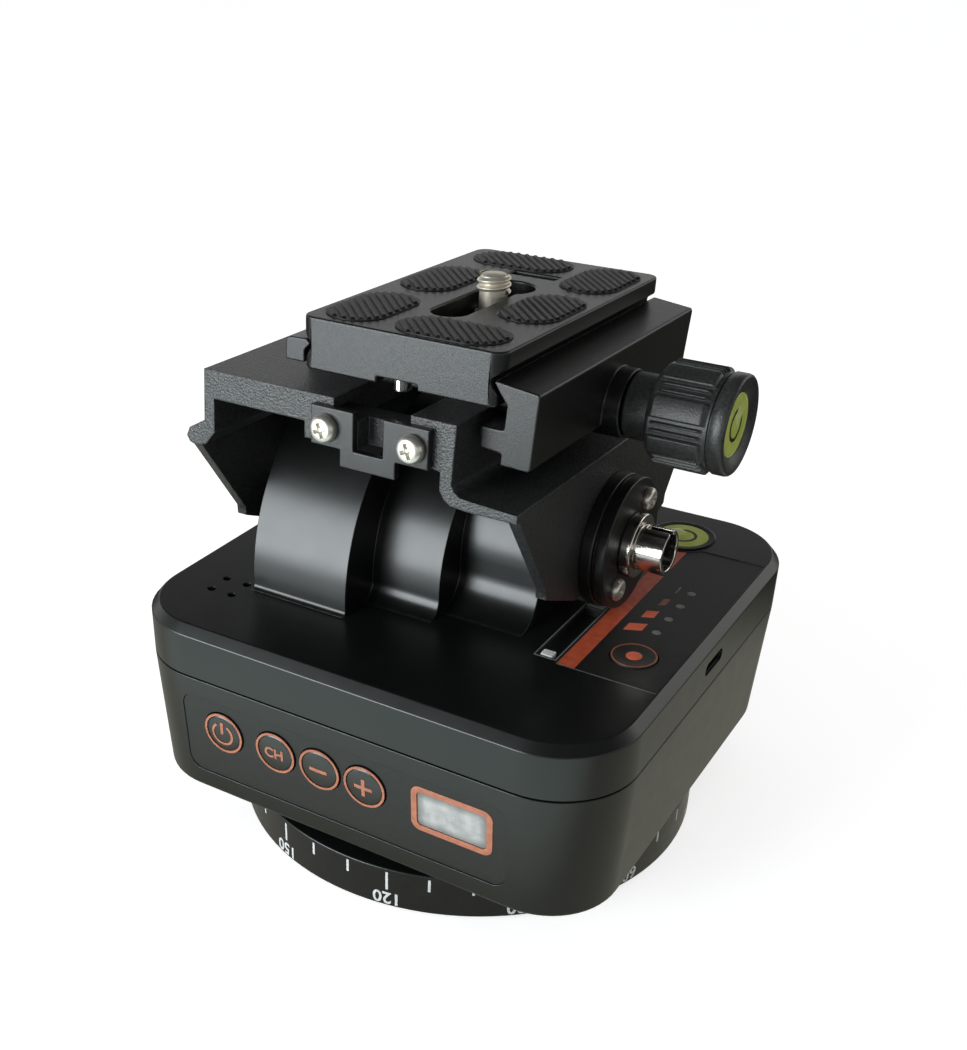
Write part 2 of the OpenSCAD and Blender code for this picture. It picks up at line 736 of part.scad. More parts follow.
drum_ledge = 0.8;
drum_arches = [
  [drum_x0, drum_x1, drum_big_r, drum_big_fillet],
  [drum_x1, drum_x2, drum_mid_r, drum_mid_fillet],
  [drum_x2, drum_x3, drum_small_r, drum_small_fillet]
];

// Half disc with concave feet, standing on the top face
module arch(r, foot) {
  intersection() {
    circle(r, $fn = 128);
    translate([-r, 0]) square([2 * r, r]);
  }
  for (s = [0, 1]) mirror([s, 0]) difference() {
    translate([r - over, 0]) square([foot + over, foot]);
    translate([r + foot, foot]) circle(foot);
  }
}

module drum_cover() {
  color("#1b1c1b") difference() {
    translate([0, drum_y, top_z]) for (a = drum_arches) along_x(a[0], a[1] + fine) arch(a[2], a[3]);
    translate([0, drum_y, top_z]) intersection() {
      for (a = drum_arches) {
        x0 = a[0] == drum_x0 ? drum_x0 + drum_end_t : a[0] - wall - fine;
        x1 = a[1] == drum_x3 ? drum_x3 - drum_end_t : a[1] - wall;
        translate([x0, 0, 0]) rotate([0, 90, 0]) cylinder(r = a[2] - wall, h = x1 - x0, $fn = 128);
      }
      translate([-body_w, -body_d, -over]) cube([2 * body_w, 2 * body_d, body_w]);
    }
    translate([0, pivot_y, pivot_z]) rod_x(drum_x0 - over, drum_x3 + over, bush_d);
  }
}

module front_panel() {
  color("#20201f") difference() {
    on_front(front_x, front_z) translate([0, 0, -panel_drop - panel_t])
      linear_extrude(panel_t) rounded(front_w, front_h, front_r);
    for (x = [power_x, channel_x, minus_x, plus_x]) on_front(x, button_z)
      translate([0, 0, -wall]) cylinder(d = button_d + 2 * gap, h = 2 * wall);
    on_front(window_x, window_z) translate([0, 0, -wall])
      linear_extrude(2 * wall) rounded(window_w, window_h, 1);
  }
}

module display_window() {
  color("#cfcac2") on_front(window_x, window_z) translate([0, 0, -button_board_in])
    linear_extrude(button_board_in - panel_drop - 0.1) rounded(window_w - 2 * fine, window_h - 2 * fine, 1);
}

// The board stands on ribs behind the front wall and carries the switches and the display
module button_board() {
  low = -(front_z - shell_low - wall / 2 - button_rib_h + 0.35);
  color("#1f5a34") on_front(front_x, front_z) {
    translate([board_x0 - front_x, low, -button_board_in - board_t])
      cube([board_x1 - board_x0, front_h - 1.3, board_t]);
    for (x = [power_x, channel_x, minus_x, plus_x])
      translate([x - front_x, button_up, -button_board_in - fine]) cylinder(d = stem_d, h = 1 + fine);
  }
}

// Outline of the top panel, cut back round the spirit level
module top_panel_outline(grow) {
  difference() {
    translate([top_x0 - grow, top_y0 - grow]) square([top_w + 2 * grow, top_y1 - top_y0 + 2 * grow]);
    translate([level_x, level_y]) circle(d = level_d + 1.6 - 2 * grow);
  }
}

module top_panel() {
  color("#222220") difference() {
    translate([0, 0, top_z - panel_drop / 3 - panel_t]) linear_extrude(panel_t) top_panel_outline(0);
    translate([record_x, record_y, roof_low]) cylinder(d = record_d + 2 * gap, h = 2 * wall);
    lights_holes();
  }
}

module main_board() {
  color("#1f5a34") translate([tray_x0 - 2, top_y0 - 1, main_board_z - board_t])
    cube([body_w / 2 - wall - 0.5 - tray_x0 + 2, top_y1 - top_y0, board_t]);
}

// The bars lean and get narrower from the first to the last, with their right ends in line
module light_bar(k) {
  w = max(0.4, bar_w * (1 - 0.3 * k));
  low = -bar_l / 2;
  rise = 0.45 * w / 2;
  polygon([[-w, low - rise], [0, low + rise], [0, low + rise + bar_l], [-w, low - rise + bar_l]]);
}

module lights_holes() {
  for (k = [0:light_n - 1]) {
    translate([bar_x, light_y0 + k * light_pitch, roof_low - over])
      linear_extrude(wall + 2 * over) light_bar(k);
    translate([dot_x, light_y0 + k * light_pitch, roof_low - over]) cylinder(d = dot_d, h = wall + 2 * over);
  }
}

// The light pipes run from the main board's top to the panel's face
light_h = top_z - panel_drop / 3 - main_board_z;

module battery_lights() {
  color("#c8502e") for (k = [0:light_n - 1])
    translate([bar_x, light_y0 + k * light_pitch, main_board_z]) linear_extrude(light_h) light_bar(k);
}

module channel_lights() {
  color("#a8a8a0") for (k = [0:light_n - 1])
    translate([dot_x, light_y0 + k * light_pitch, main_board_z]) cylinder(d = dot_d, h = light_h);
}

module switch_tray() {
  floor_t = wall - tray_depth;
  y_open = tray_y1 - tray_end;
  color("#0c0c0c") difference() {
    translate([tray_x0, tray_y0, roof_low]) cube([tray_w, tray_y1 - tray_y0, wall]);
    translate([tray_x0 + tray_rim, tray_y0 + tray_rim, roof_low + floor_t])
      cube([tray_w - 2 * tray_rim, y_open - tray_y0 - tray_rim, wall]);
  }
}

module usb_port() {
  x1 = body_w / 2 - 0.4;
  shell_t = 0.35;
  color("#9a9a9c") difference() {
    translate([x1 - usb_l, usb_y, usb_z]) usb_outline(usb_l, -fine);
    translate([x1 - usb_l + 1, usb_y, usb_z]) usb_outline(usb_l, -shell_t);
  }
}

module level_vial() {
  color("#b7c93a") translate([level_x, level_y, top_z - level_depth])
    cylinder(d = level_d - 2 * fine, h = level_depth + 0.3);
}

module battery_pack() {
  color("#2c4a78") translate([-battery_w / 2, battery_y0, battery_z0])
    cube([battery_w, battery_d, battery_h]);
}

module pan_motor() {
  color("#8d8f92") rotate(pan_motor_dir) translate([pan_centres, 0, pan_bracket_z]) gear_motor();
}

module pan_motor_bracket() {
  w = 12;
  l = motor_d + 2 * (6 + 3);
  color("#77797c") rotate(pan_motor_dir) translate([0, 0, pan_bracket_z]) difference() {
    translate([pan_centres - w / 2, -l / 2, 0]) cube([w, l, motor_nose_len]);
    translate([pan_centres, 0, -over]) cylinder(d = motor_nose_d, h = motor_nose_len + 2 * over);
  }
}

tilt_motor_z = pivot_z - tilt_centres;
tilt_motor_x = tilt_gear_x + tilt_gear_t + 2;

module tilt_motor() {
  color("#8d8f92") translate([tilt_motor_x, pivot_y, tilt_motor_z]) rotate([0, 90, 0]) gear_motor();
}

// A plate that hangs from the roof on two ears and holds the tilt motor's nose
module tilt_motor_bracket() {
  reach = drum_big_r - wall - drum_ledge + 3;
  ear = [7, 5, 2];
  strip_h = 4;
  color("#77797c") difference() {
    translate([tilt_motor_x, 0, 0]) union() {
      translate([0, pivot_y - motor_d / 2, tilt_motor_z - motor_d / 2])
        cube([motor_nose_len, motor_d, motor_d]);
      translate([0, drum_y - reach, roof_low - strip_h]) cube([motor_nose_len, 2 * reach, strip_h]);
      for (y = [drum_y - reach, drum_y + reach - ear.y]) translate([0, y, roof_low - ear.z]) cube(ear);
    }
    translate([tilt_motor_x - over, pivot_y, tilt_motor_z]) rod_x(0, motor_nose_len + 2 * over, motor_nose_d);
  }
}

module shaft_bushes() {
  color("#c9a45a") translate([0, pivot_y, pivot_z])
    for (x = [drum_x0, drum_x3 - drum_end_t]) difference() {
      rod_x(x, x + drum_end_t, bush_d);
      rod_x(x - over, x + drum_end_t + over, shaft_d + 2 * running);
    }
}

module shell_screws() {
  color("#8e8e90") for (p = post_places) translate([p.x, p.y, floor_z + 3])
    mirror([0, 0, 1]) screw(shell_screw_d + 2.4, 2, shell_screw_d - 2 * fine, roof_low - floor_z - 6);
}

// A front button: cap, retaining flange behind the wall and a stem towards its switch
module front_button(x) {
  flange_z = -wall - gap;
  color("#1a1a1a") on_front(x, button_z) {
    translate([0, 0, flange_z - fine]) cylinder(d = button_d, h = -flange_z - panel_drop + 0.3 + fine);
    translate([0, 0, flange_z - button_flange_t]) cylinder(d = button_d + 0.8, h = button_flange_t);
    translate([0, 0, -button_board_in + 1 + button_travel + gap])
      cylinder(d = stem_d, h = button_board_in - 1 - button_travel - gap - wall);
  }
}

module power_button() { front_button(power_x); }

module channel_button() { front_button(channel_x); }

module minus_button() { front_button(minus_x); }

module plus_button() { front_button(plus_x); }

module record_button() {
  flange_z = roof_low - gap;
  stem_low = main_board_z + record_travel + gap;
  color("#1a1a1a") translate([record_x, record_y, 0]) {
    translate([0, 0, flange_z - fine]) cylinder(d = record_d, h = top_z + 0.15 - flange_z + fine);
    translate([0, 0, flange_z - 1]) cylinder(d = record_d + 1.6, h = 1);
    translate([0, 0, stem_low]) cylinder(d = stem_d, h = flange_z - stem_low);
  }
}

module slide_switch() {
  floor_top = roof_low + wall - tray_depth;
  color("#d9d9d6") translate([tray_x0 + tray_w / 2 - slider_w / 2, tray_y0 + tray_rim + gap, floor_top + gap])
    cube([slider_w, slider_l, tray_depth]);
}

module pan_pinion() {
  phase = 180 + 180 / pan_pinion_teeth;
  color("#caa868") rotate(pan_motor_dir) translate([pan_centres, 0, 0]) {
    translate([0, 0, ring_z0]) rotate(phase) linear_extrude(pan_gear_t)
      gear_outline(pan_pinion_teeth, pan_module);
    translate([0, 0, ring_z1 - fine])
      cylinder(d = motor_shaft_d, h = pan_bracket_z + motor_nose_len + motor_shaft_in - ring_z1);
  }
}

module tilt_pinion() {
  phase = 90 + 180 / tilt_pinion_teeth;
  color("#caa868") translate([0, pivot_y, tilt_motor_z]) {
    along_x(tilt_gear_x, tilt_gear_x + tilt_gear_t) rotate(phase)
      gear_outline(tilt_pinion_teeth, tilt_module);
    rod_x(tilt_gear_x + tilt_gear_t - fine, tilt_motor_x + motor_nose_len + motor_shaft_in, motor_shaft_d);
  }
}

deck_low = cradle_top - deck_t;
deck_x0 = drum_x0 - 3.2;
slot_left = -12.9;
slot_right = 11.1;
slot_low = cradle_top - 8.2;
tip_left = -8.3;
tip_right = 6.9;
tip_t = 1.9;
rail_x = 15.2;
rail_low = 14.3;
flange_t_right = 1.9;
flange_low = cradle_top - rail_low;
flange_top = flange_low + flange_t_right;
cross_bar = 8;

// Profile of the left deck with its wall and lip, in X and in Z below the cradle's top
module deck_profile() {
  inner = slot_left - 1.5;
  side = deck_x0 + 2;
  lip_end = cheek_left_x;
  translate([0, cradle_top]) polygon([
    [deck_x0, 0], [tip_left, 0], [tip_left, -tip_t], [slot_left, -tip_t], [slot_left, slot_low - cradle_top],
    [inner, slot_low - cradle_top], [inner, -deck_t], [side, -deck_t], [side - 0.2, -11.6],
    [side - 2.3, -14.2], [lip_end + 2.1, -14.9], [lip_end + 0.7, -14.5], [lip_end, -13.4],
    [lip_end + 0.7, -11.7], [deck_x0 - 0.4, -9.6]
  ]);
}

// Profile of the right rail with its flange, in X and in Z below the cradle's top
module rail_profile() {
  inner = rail_x - 2.4;
  translate([0, cradle_top]) polygon([
    [tip_right, 0], [rail_x + 0.3, 0], [rail_x, -5.9], [rail_x - 0.2, -10.3], [rail_x + 0.3, -11.4],
    [rail_x + 1.5, -12.2], [rail_x + 3.5, flange_t_right - rail_low],
    [cheek_right_x, flange_t_right - rail_low - 0.4], [cheek_right_x, -rail_low],
    [rail_x + 2.5, -rail_low], [rail_x - 0.3, 0.3 - rail_low],
    [rail_x - 1.5, 1.1 - rail_low], [inner, -11.7], [inner, -8.5], [slot_right, slot_low - cradle_top],
    [slot_right, -tip_t], [tip_right, -tip_t]
  ]);
}

// Side outline of both cheeks, in Y and Z
module cheek_outline() {
  mid = (cradle_y0 + cradle_y1) / 2;
  half = (cradle_y1 - cradle_y0) / 2;
  translate([mid, 0]) for (s = [0, 1]) mirror([s, 0])
    polygon([
      [-over, flange_low + 1.2], [half, flange_low + 1.2], [half - 14.2, -0.9],
      [half - 14.4, -2.8], [14.4, -8.2], [-over, -8.2]
    ]);
  circle(cheek_r);
}

module cradle() {
  color("#202120") on_cradle() difference() {
    union() {
      along_y(cradle_y0, cradle_y1) deck_profile();
      along_y(cradle_y0, cradle_y1) rail_profile();
      for (y = [cradle_y0, cradle_y1 - cross_bar]) along_y(y, y + cross_bar)
        translate([slot_left - fine, slot_low])
          square([slot_right - slot_left + 2 * fine, cradle_top - tip_t - 1.3 - slot_low]);
      along_x(cheek_left_x, cheek_left_x + cheek_t) cheek_outline();
      along_x(cheek_right_x - cheek_t, cheek_right_x) cheek_outline();
    }
    translate([notch_x0, cradle_y0 - over, slot_low - over])
      cube([notch_x1 - notch_x0, 3.5 + over, cradle_top - slot_low]);
    translate([slot_left - 3, -9, slot_low - over]) cube([3 + fine, 34, deck_low - slot_low + over]);
    rod_x(-body_w, body_w, shaft_d);
    for (y = [jaw_mid_y - guide_pitch / 2, jaw_mid_y + guide_pitch / 2])
      translate([0, y, knob_z]) rod_x(slot_right - over, rail_x + 2, guide_d + 2 * running);
    translate([0, jaw_mid_y, knob_z]) rod_x(tip_right - over, rail_x + 2, stud_d + 2 * running);
    for (p = clamp_screw_places) translate([p.x, p.y, deck_low + 0.5])
      cylinder(d = bracket_screw_d, h = deck_t + over);
    for (x = bracket_screw_x) translate([x, cradle_y0 - over, bracket_screw_z]) rotate([-90, 0, 0])
      cylinder(d = bracket_screw_d, h = cross_bar);
    for (s = [-1, 1], side = [cheek_left_x - over, cheek_right_x - cheek_t - over])
      rotate([flange_screw_dir, 0, 0]) translate([0, s * flange_screw_pcr, 0])
        rod_x(side, side + cheek_t + 2 * over, bracket_screw_d);
  }
}

notch_x0 = -3.4;
notch_x1 = 2.5;
guide_pitch = 44;
bracket_screw_x = [-9, 8.2];
bracket_screw_z = cradle_top - 5;
clamp_screw_places = [[-15.5, -24], [-15.5, 20], [13.2, -14], [13.2, 11]];

module front_bracket() {
  top = cradle_top - 1.3;
  foot = slot_low - 3.1;
  color("#1e1e1e") on_cradle() difference() {
    along_y(cradle_y0 - bracket_t, cradle_y0) difference() {
      union() {
        translate([-12, slot_low]) square([23.3, top - slot_low]);
        translate([notch_x0 - 2.7, foot]) square([notch_x1 - notch_x0 + 5.15, slot_low - foot + over]);
      }
      translate([notch_x0, slot_low + 0.1]) square([notch_x1 - notch_x0, top]);
    }
    for (x = bracket_screw_x) translate([x, cradle_y0 - 2 * bracket_t, bracket_screw_z]) rotate([-90, 0, 0])
      cylinder(d = bracket_screw_d, h = 3 * bracket_t);
  }
}

module bracket_screws() {
  color("#c4c4c6") on_cradle() for (x = bracket_screw_x)
    translate([x, cradle_y0 - bracket_t, bracket_screw_z]) rotate([90, 0, 0])
      screw(bracket_head_d, 1.8, bracket_screw_d - 2 * fine, bracket_t + 5.5);
}

module tilt_shaft() {
  color("#d2d2d4") on_cradle() difference() {
    rod_x(cheek_left_x - flange_t, shaft_x1, shaft_d);
    rod_x(cheek_left_x - flange_t - over, shaft_x1 + over, shaft_bore);
    translate([cheek_right_x + right_flange_t + collar_t + 0.8, -0.9, 0]) cube([10, 1.8, shaft_d]);
  }
}

flange_t = 2.4;
right_flange_t = 4.9;

module flange_holes(x0, x1) {
  rod_x(x0, x1, shaft_d);
  for (s = [-1, 1]) rotate([flange_screw_dir, 0, 0]) translate([0, s * flange_screw_pcr, 0])
    rod_x(x0, x1, bracket_screw_d);
}

module right_flange() {
  x0 = cheek_right_x;
  color("#191919") on_cradle() difference() {
    union() {
      rod_x(x0, x0 + 2.4, 2 * cheek_r);
      rod_x(x0, x0 + 3, 2 * (cheek_r - groove_in));
      rod_x(x0 + 2.9, x0 + right_flange_t, 2 * flange_r);
    }
    flange_holes(x0 - over, x0 + right_flange_t + over);
  }
}

module left_flange() {
  color("#191919") on_cradle() difference() {
    rod_x(cheek_left_x - flange_t, cheek_left_x, 2 * flange_r);
    flange_holes(cheek_left_x - flange_t - over, cheek_left_x + over);
  }
}

module shaft_collar() {
  x0 = cheek_right_x + right_flange_t;
  color("#c9c9cb") on_cradle() difference() {
    rod_x(x0, x0 + collar_t, collar_d);
    rod_x(x0 - over, x0 + collar_t + over, shaft_d);
  }
}

module flange_screws() {
  d = bracket_screw_d - 2 * fine;
  color("#c4c4c6") on_cradle() for (s = [-1, 1]) rotate([flange_screw_dir, 0, 0])
    translate([0, s * flange_screw_pcr, 0]) {
      translate([cheek_right_x + right_flange_t, 0, 0]) rotate([0, 90, 0])
        screw(flange_head_d, 1.4, d, right_flange_t + cheek_t);
      translate([cheek_left_x - flange_t, 0, 0]) rotate([0, -90, 0])
        screw(flange_head_d, 1.4, d, flange_t + cheek_t);
    }
}

module tilt_gear() {
  hub = 4;
  color("#d8d4c4") translate([0, pivot_y, pivot_z]) difference() {
    union() {
      along_x(tilt_gear_x, tilt_gear_x + tilt_gear_t) rotate(-90) gear_outline(tilt_teeth, tilt_module);
      rod_x(tilt_gear_x + tilt_gear_t - fine, tilt_gear_x + tilt_gear_t + hub, shaft_d + 6);
    }
    rod_x(tilt_gear_x - over, tilt_gear_x + tilt_gear_t + hub + over, shaft_d);
  }
}

left_jaw_x = -22.5;
groove_z = plate_low + 4.2;
tip_gap = 0.3;
groove_half = plate_w / 2 - 2.05;
jaw_inner_half = plate_w / 2 - 0.45;
base_right = 20.4;

module clamp_base() {
  top = cradle_top + clamp_t;
  tip = plate_x - groove_half - tip_gap;
  inner = plate_x - jaw_inner_half;
  color("#1d1e1d") on_cradle() difference() {
    along_y(jaw_y0, jaw_y1) polygon([
      [left_jaw_x, cradle_top], [base_right, cradle_top], [base_right, top], [inner, top],
      [inner, groove_z - 1.3], [tip, groove_z], [tip - 0.9, groove_z + 0.75],
      [left_jaw_x + 1.2, groove_z + 0.6], [left_jaw_x + 0.2, groove_z + 0.2]
    ]);
    translate([plate_x - channel_w / 2, jaw_y0 - over, top - channel_h])
      cube([channel_w, jaw_y1 - jaw_y0 + 2 * over, channel_h + over]);
    translate([left_jaw_x - over, jaw_y0 - over, cradle_top - over])
      cube([base_right - left_jaw_x + 2 * over, base_relief_l + over, base_relief_h + over]);
    for (p = clamp_screw_places) translate([p.x, p.y, cradle_top - over]) {
      cylinder(d = bracket_screw_d, h = clamp_t + 2 * over);
      translate([0, 0, over + 0.8]) cylinder(d = bracket_head_d, h = clamp_t);
    }
  }
}

channel_w = 8;
channel_h = 1.2;
// The jaw overhangs in front, where the base is cut back under the plate
base_relief_l = 7;
base_relief_h = clamp_t + gap + 0.7;

module clamp_screws() {
  color("#8e8e90") on_cradle() for (p = clamp_screw_places) translate([p.x, p.y, cradle_top + 0.8])
    screw(bracket_head_d - 2 * fine, clamp_t - 0.9, bracket_screw_d - 2 * fine, 5);
}

jaw_in_x = 21;
jaw_face_x = 29.8;
jaw_drop = 7.6;
pin_end_x = jaw_in_x + 3;

module moving_jaw() {
  tip = plate_x + groove_half + tip_gap;
  foot = cradle_top - jaw_drop;
  heel = rail_x + 1.6;
  color("#1d1e1d") on_cradle() difference() {
    union() {
      along_y(jaw_y0, jaw_y1) polygon([
        [tip, groove_z], [tip + 1.2, groove_z - 1.8], [jaw_in_x + 0.3, groove_z - 3.5],
        [jaw_in_x, cradle_top - 1.3], [heel, cradle_top - 1.3], [heel, cradle_top - 5],
        [jaw_in_x - 0.2, cradle_top - 5.4], [jaw_in_x - 0.3, foot + 0.2], [jaw_in_x + 4.9, foot],
        [jaw_in_x + 5.4, foot + 0.5], [jaw_in_x + 6.1, groove_z - 1.3], [jaw_in_x + 5.9, groove_z - 0.7],
        [tip + 0.4, groove_z + 0.2]
      ]);
      translate([0, jaw_mid_y, knob_z]) rod_x(jaw_in_x + 1, jaw_face_x, neck_d + 0.6);
    }
    translate([0, jaw_mid_y, knob_z]) rod_x(heel - over, jaw_face_x + over, stud_d + 2 * running);
    for (y = [jaw_mid_y - guide_pitch / 2, jaw_mid_y + guide_pitch / 2])
      translate([0, y, knob_z]) rod_x(heel - over, pin_end_x, guide_d);
  }
}

// The jaw's pins reach through the rail by more than the jaw's travel
module guide_pins() {
  color("#b8b8ba") on_cradle() for (y = [jaw_mid_y - guide_pitch / 2, jaw_mid_y + guide_pitch / 2])
    translate([0, y, knob_z]) rod_x(slot_right - jaw_travel - 1.1, pin_end_x, guide_d);
}

module clamp_knob() {
  band = 3;
  rib_w = 4.4;
  color("#171717") on_cradle() translate([0, jaw_mid_y, knob_z]) difference() {
    union() {
      rod_x(jaw_face_x + slide_gap, knob_x0 + over, neck_d);
      rod_x(knob_x0, knob_x1 - band + fine, knob_d - 2 * flute);
      rod_x(knob_x1 - band, knob_x1, knob_d - flute);
      for (k = [0:knob_ribs - 1]) rotate([360 * k / knob_ribs, 0, 0])
        translate([knob_x0 + 1, -rib_w / 2, knob_d / 2 - flute - 1])
          cube([knob_x1 - knob_x0 - band - 1, rib_w, flute + 0.6]);
    }
    rod_x(jaw_face_x, stud_end_x, stud_d);
    rod_x(knob_x1 - knob_level_t, knob_x1 + over, knob_level_d);
  }
}

knob_level_d = knob_d - 7.4;
knob_level_t = 2;
stud_end_x = knob_x0 + 6;

module knob_stud() {
  color("#b8b8ba") on_cradle() translate([0, jaw_mid_y, knob_z])
    rod_x(slot_right - jaw_travel - 0.1, stud_end_x, stud_d);
}

module knob_level() {
  color("#b7c93a") on_cradle() translate([0, jaw_mid_y, knob_z])
    rod_x(knob_x1 - knob_level_t, knob_x1 - 0.3, knob_level_d - 2 * fine);
}

// The plate's grooved cross section, in X and Z: its right side and the mirrored left one
module plate_section() {
  half = plate_w / 2;
  in_half = jaw_inner_half - 0.45;
  side = [
    [in_half, plate_low], [in_half, groove_z - 2.1], [groove_half, groove_z - 0.5],
    [groove_half, groove_z + 0.5], [half, groove_z + 1.9], [half, plate_top]
  ];
  n = len(side);
  polygon([for (k = [0:2 * n - 1]) k < n ? side[k] : [-side[2 * n - 1 - k].x, side[2 * n - 1 - k].y]]);
}

module on_plate() {
  on_cradle() translate([plate_x, plate_y, 0]) children();
}

module release_plate() {
  cross_y = (slot_y1 + plate_l / 2) / 2 - 4.5;
  cross_h = 4;
  color("#232323") on_plate() difference() {
    intersection() {
      along_y(-plate_l / 2, plate_l / 2) plate_section();
      translate([0, 0, plate_low - over]) linear_extrude(plate_t + 2 * over)
        rounded(plate_w, plate_l, plate_r);
    }
    slot_cut(slot_w, plate_low - over, plate_t + 2 * over);
    slot_cut(slot_w + 7, plate_low - over, slot_cbore + over);
    translate([0, slot_y1 - slot_mouth_d / 2, plate_low + slot_cbore - over])
      cylinder(d = slot_mouth_d, h = plate_t);
    translate([-4.9, cross_y - 1.5, plate_top - cross_h]) cube([9.8, 3, cross_h + over]);
    translate([-channel_w / 2, -plate_l / 2 - over, plate_low - over])
      cube([channel_w, stop_notch_l + over, channel_h + over]);
    for (y = stop_y) translate([0, y, plate_low - over]) cylinder(d = stop_d, h = 5);
    translate([0, 0, plate_top - 0.4]) linear_extrude(over) pad_outlines(fine);
  }
}

stop_d = 3.2;
stop_notch_l = 3.9;
stop_y = [-plate_l / 2 + 2.1, plate_l / 2 - 2.1];

// A slot along the plate with round ends
module slot_cut(w, z, h) {
  translate([0, 0, z]) linear_extrude(h) {
    translate([-w / 2, slot_y0 + slot_w / 2]) square([w, slot_y1 - slot_y0 - slot_w]);
    for (y = [slot_y0 + slot_w / 2, slot_y1 - slot_w / 2]) translate([0, y]) circle(d = w);
  }
}

// The six rubber pads: [x, y, width, length], alike under a half turn
pads = [[-12.3, -20.6, 11.4, 20.4], [-12.5, 4.2, 11.4, 20.4], [6.6, -25.6, 20.6, 11.6]];

module pad_outlines(grow) {
  for (turn = [0, 180], p = pads) rotate(turn) translate([p[0], p[1]]) {
    r = min(p[2], p[3]) / 2 + grow;
    reach = max(p[2], p[3]) / 2 - r + grow;
    long_x = p[2] > p[3];
    for (s = [-1, 1]) translate(long_x ? [s * reach, 0] : [0, s * reach]) circle(r);
    square(long_x ? [2 * reach, 2 * r] : [2 * r, 2 * reach], center = true);
  }
}

module grip_pads() {
  color("#2b2b2a") on_plate() translate([0, 0, plate_top - 0.4])
    linear_extrude(0.4 + pad_proud) pad_outlines(0);
}

module stop_screws() {
  color("#c4c4c6") on_plate() for (y = stop_y) translate([0, y, plate_low - 0.9])
    cylinder(d = stop_d, h = 4.9);
}

retainer_d = slot_w + 5;
retainer_t = 1.2;
retainer_z = plate_low + slot_cbore - gap;

module screw_retainer() {
  color("#8e8e90") on_plate() translate([0, camera_screw_y, retainer_z - retainer_t]) difference() {
    union() {
      cylinder(d = retainer_d, h = retainer_t);
      cylinder(d = slot_w - 2 * gap, h = retainer_t + 2);
    }
    translate([0, 0, -over]) cylinder(d = screw_neck_d + 2 * running, h = retainer_t + 4);
  }
}

// The camera screw: threaded end above the plate, slim neck in the retainer, head with a coin slot
module camera_screw() {
  head_low = plate_low + gap;
  top = plate_top + camera_screw_l;
  color("#c9bfa6") on_plate() translate([0, camera_screw_y, 0]) difference() {
    union() {
      translate([0, 0, head_low])
        cylinder(d = retainer_d - 0.6, h = retainer_z - retainer_t - gap - head_low);
      translate([0, 0, head_low]) cylinder(d = screw_neck_d, h = plate_top - head_low + fine);
      translate([0, 0, plate_top]) cylinder(d = camera_screw_d, h = top - plate_top);
    }
    translate([-retainer_d, -0.7, head_low - over]) cube([2 * retainer_d, 1.4, over + 1.1]);
  }
}

base_dial();
base_cover();
base_pad();
tripod_bushing();
base_screws();
pan_axle();
pan_ring_gear();
thrust_washer();
lower_shell();
upper_shell();
drum_cover();
front_panel();
display_window();
button_board();
top_panel();
main_board();
battery_lights();
channel_lights();
switch_tray();
usb_port();
level_vial();
battery_pack();
pan_motor();
pan_motor_bracket();
tilt_motor();
tilt_motor_bracket();
shaft_bushes();
shell_screws();
power_button();
channel_button();
minus_button();
plus_button();
record_button();
slide_switch();
pan_pinion();
tilt_pinion();
cradle();
front_bracket();
bracket_screws();
tilt_shaft();
right_flange();
left_flange();
shaft_collar();
flange_screws();
tilt_gear();
clamp_base();
clamp_screws();
moving_jaw();
guide_pins();
clamp_knob();
knob_stud();
knob_level();
release_plate();
grip_pads();
stop_screws();
screw_retainer();
camera_screw();
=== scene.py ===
"""Looks of a remote pan tilt head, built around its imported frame. All sizes here are in millimetres."""

import json
from contextlib import contextmanager
from math import atan, atan2, cos, degrees, hypot, pi, radians, sin, sqrt, tan

import bmesh
import bpy
from mathutils import Matrix, Vector


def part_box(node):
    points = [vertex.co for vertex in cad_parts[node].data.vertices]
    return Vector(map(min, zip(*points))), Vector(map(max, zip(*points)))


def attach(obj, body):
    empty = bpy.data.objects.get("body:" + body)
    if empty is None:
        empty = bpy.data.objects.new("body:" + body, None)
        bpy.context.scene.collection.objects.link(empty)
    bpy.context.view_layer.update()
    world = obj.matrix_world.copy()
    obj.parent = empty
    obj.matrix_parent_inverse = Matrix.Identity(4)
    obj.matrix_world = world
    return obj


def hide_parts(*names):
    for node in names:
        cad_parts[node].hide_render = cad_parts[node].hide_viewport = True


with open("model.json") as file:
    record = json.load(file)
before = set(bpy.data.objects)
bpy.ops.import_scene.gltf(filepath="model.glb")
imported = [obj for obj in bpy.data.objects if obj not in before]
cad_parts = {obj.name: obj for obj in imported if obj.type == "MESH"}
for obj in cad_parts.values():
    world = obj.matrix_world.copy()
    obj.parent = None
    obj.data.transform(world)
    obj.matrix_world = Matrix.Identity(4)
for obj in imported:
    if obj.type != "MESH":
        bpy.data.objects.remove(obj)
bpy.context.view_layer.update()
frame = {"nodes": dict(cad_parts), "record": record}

MM = 0.001
SCENE = bpy.context.scene
TAU = 2 * pi
QUARTER = pi / 2
# Radius of the point that closes a turned profile on its axis
AXIS = 0.01
# Turns a prism's own X, Y and Z to Y, Z and X
ALONG_X = Matrix(((0, 0, 1, 0), (1, 0, 0, 0), (0, 1, 0, 0), (0, 0, 0, 1)))


def cad_box(node):
    """Lowest and highest corner of a CAD node, in millimetres."""
    low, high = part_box(node)
    return low / MM, high / MM


def at(x, y, z=0.0):
    return Matrix.Translation((x, y, z))


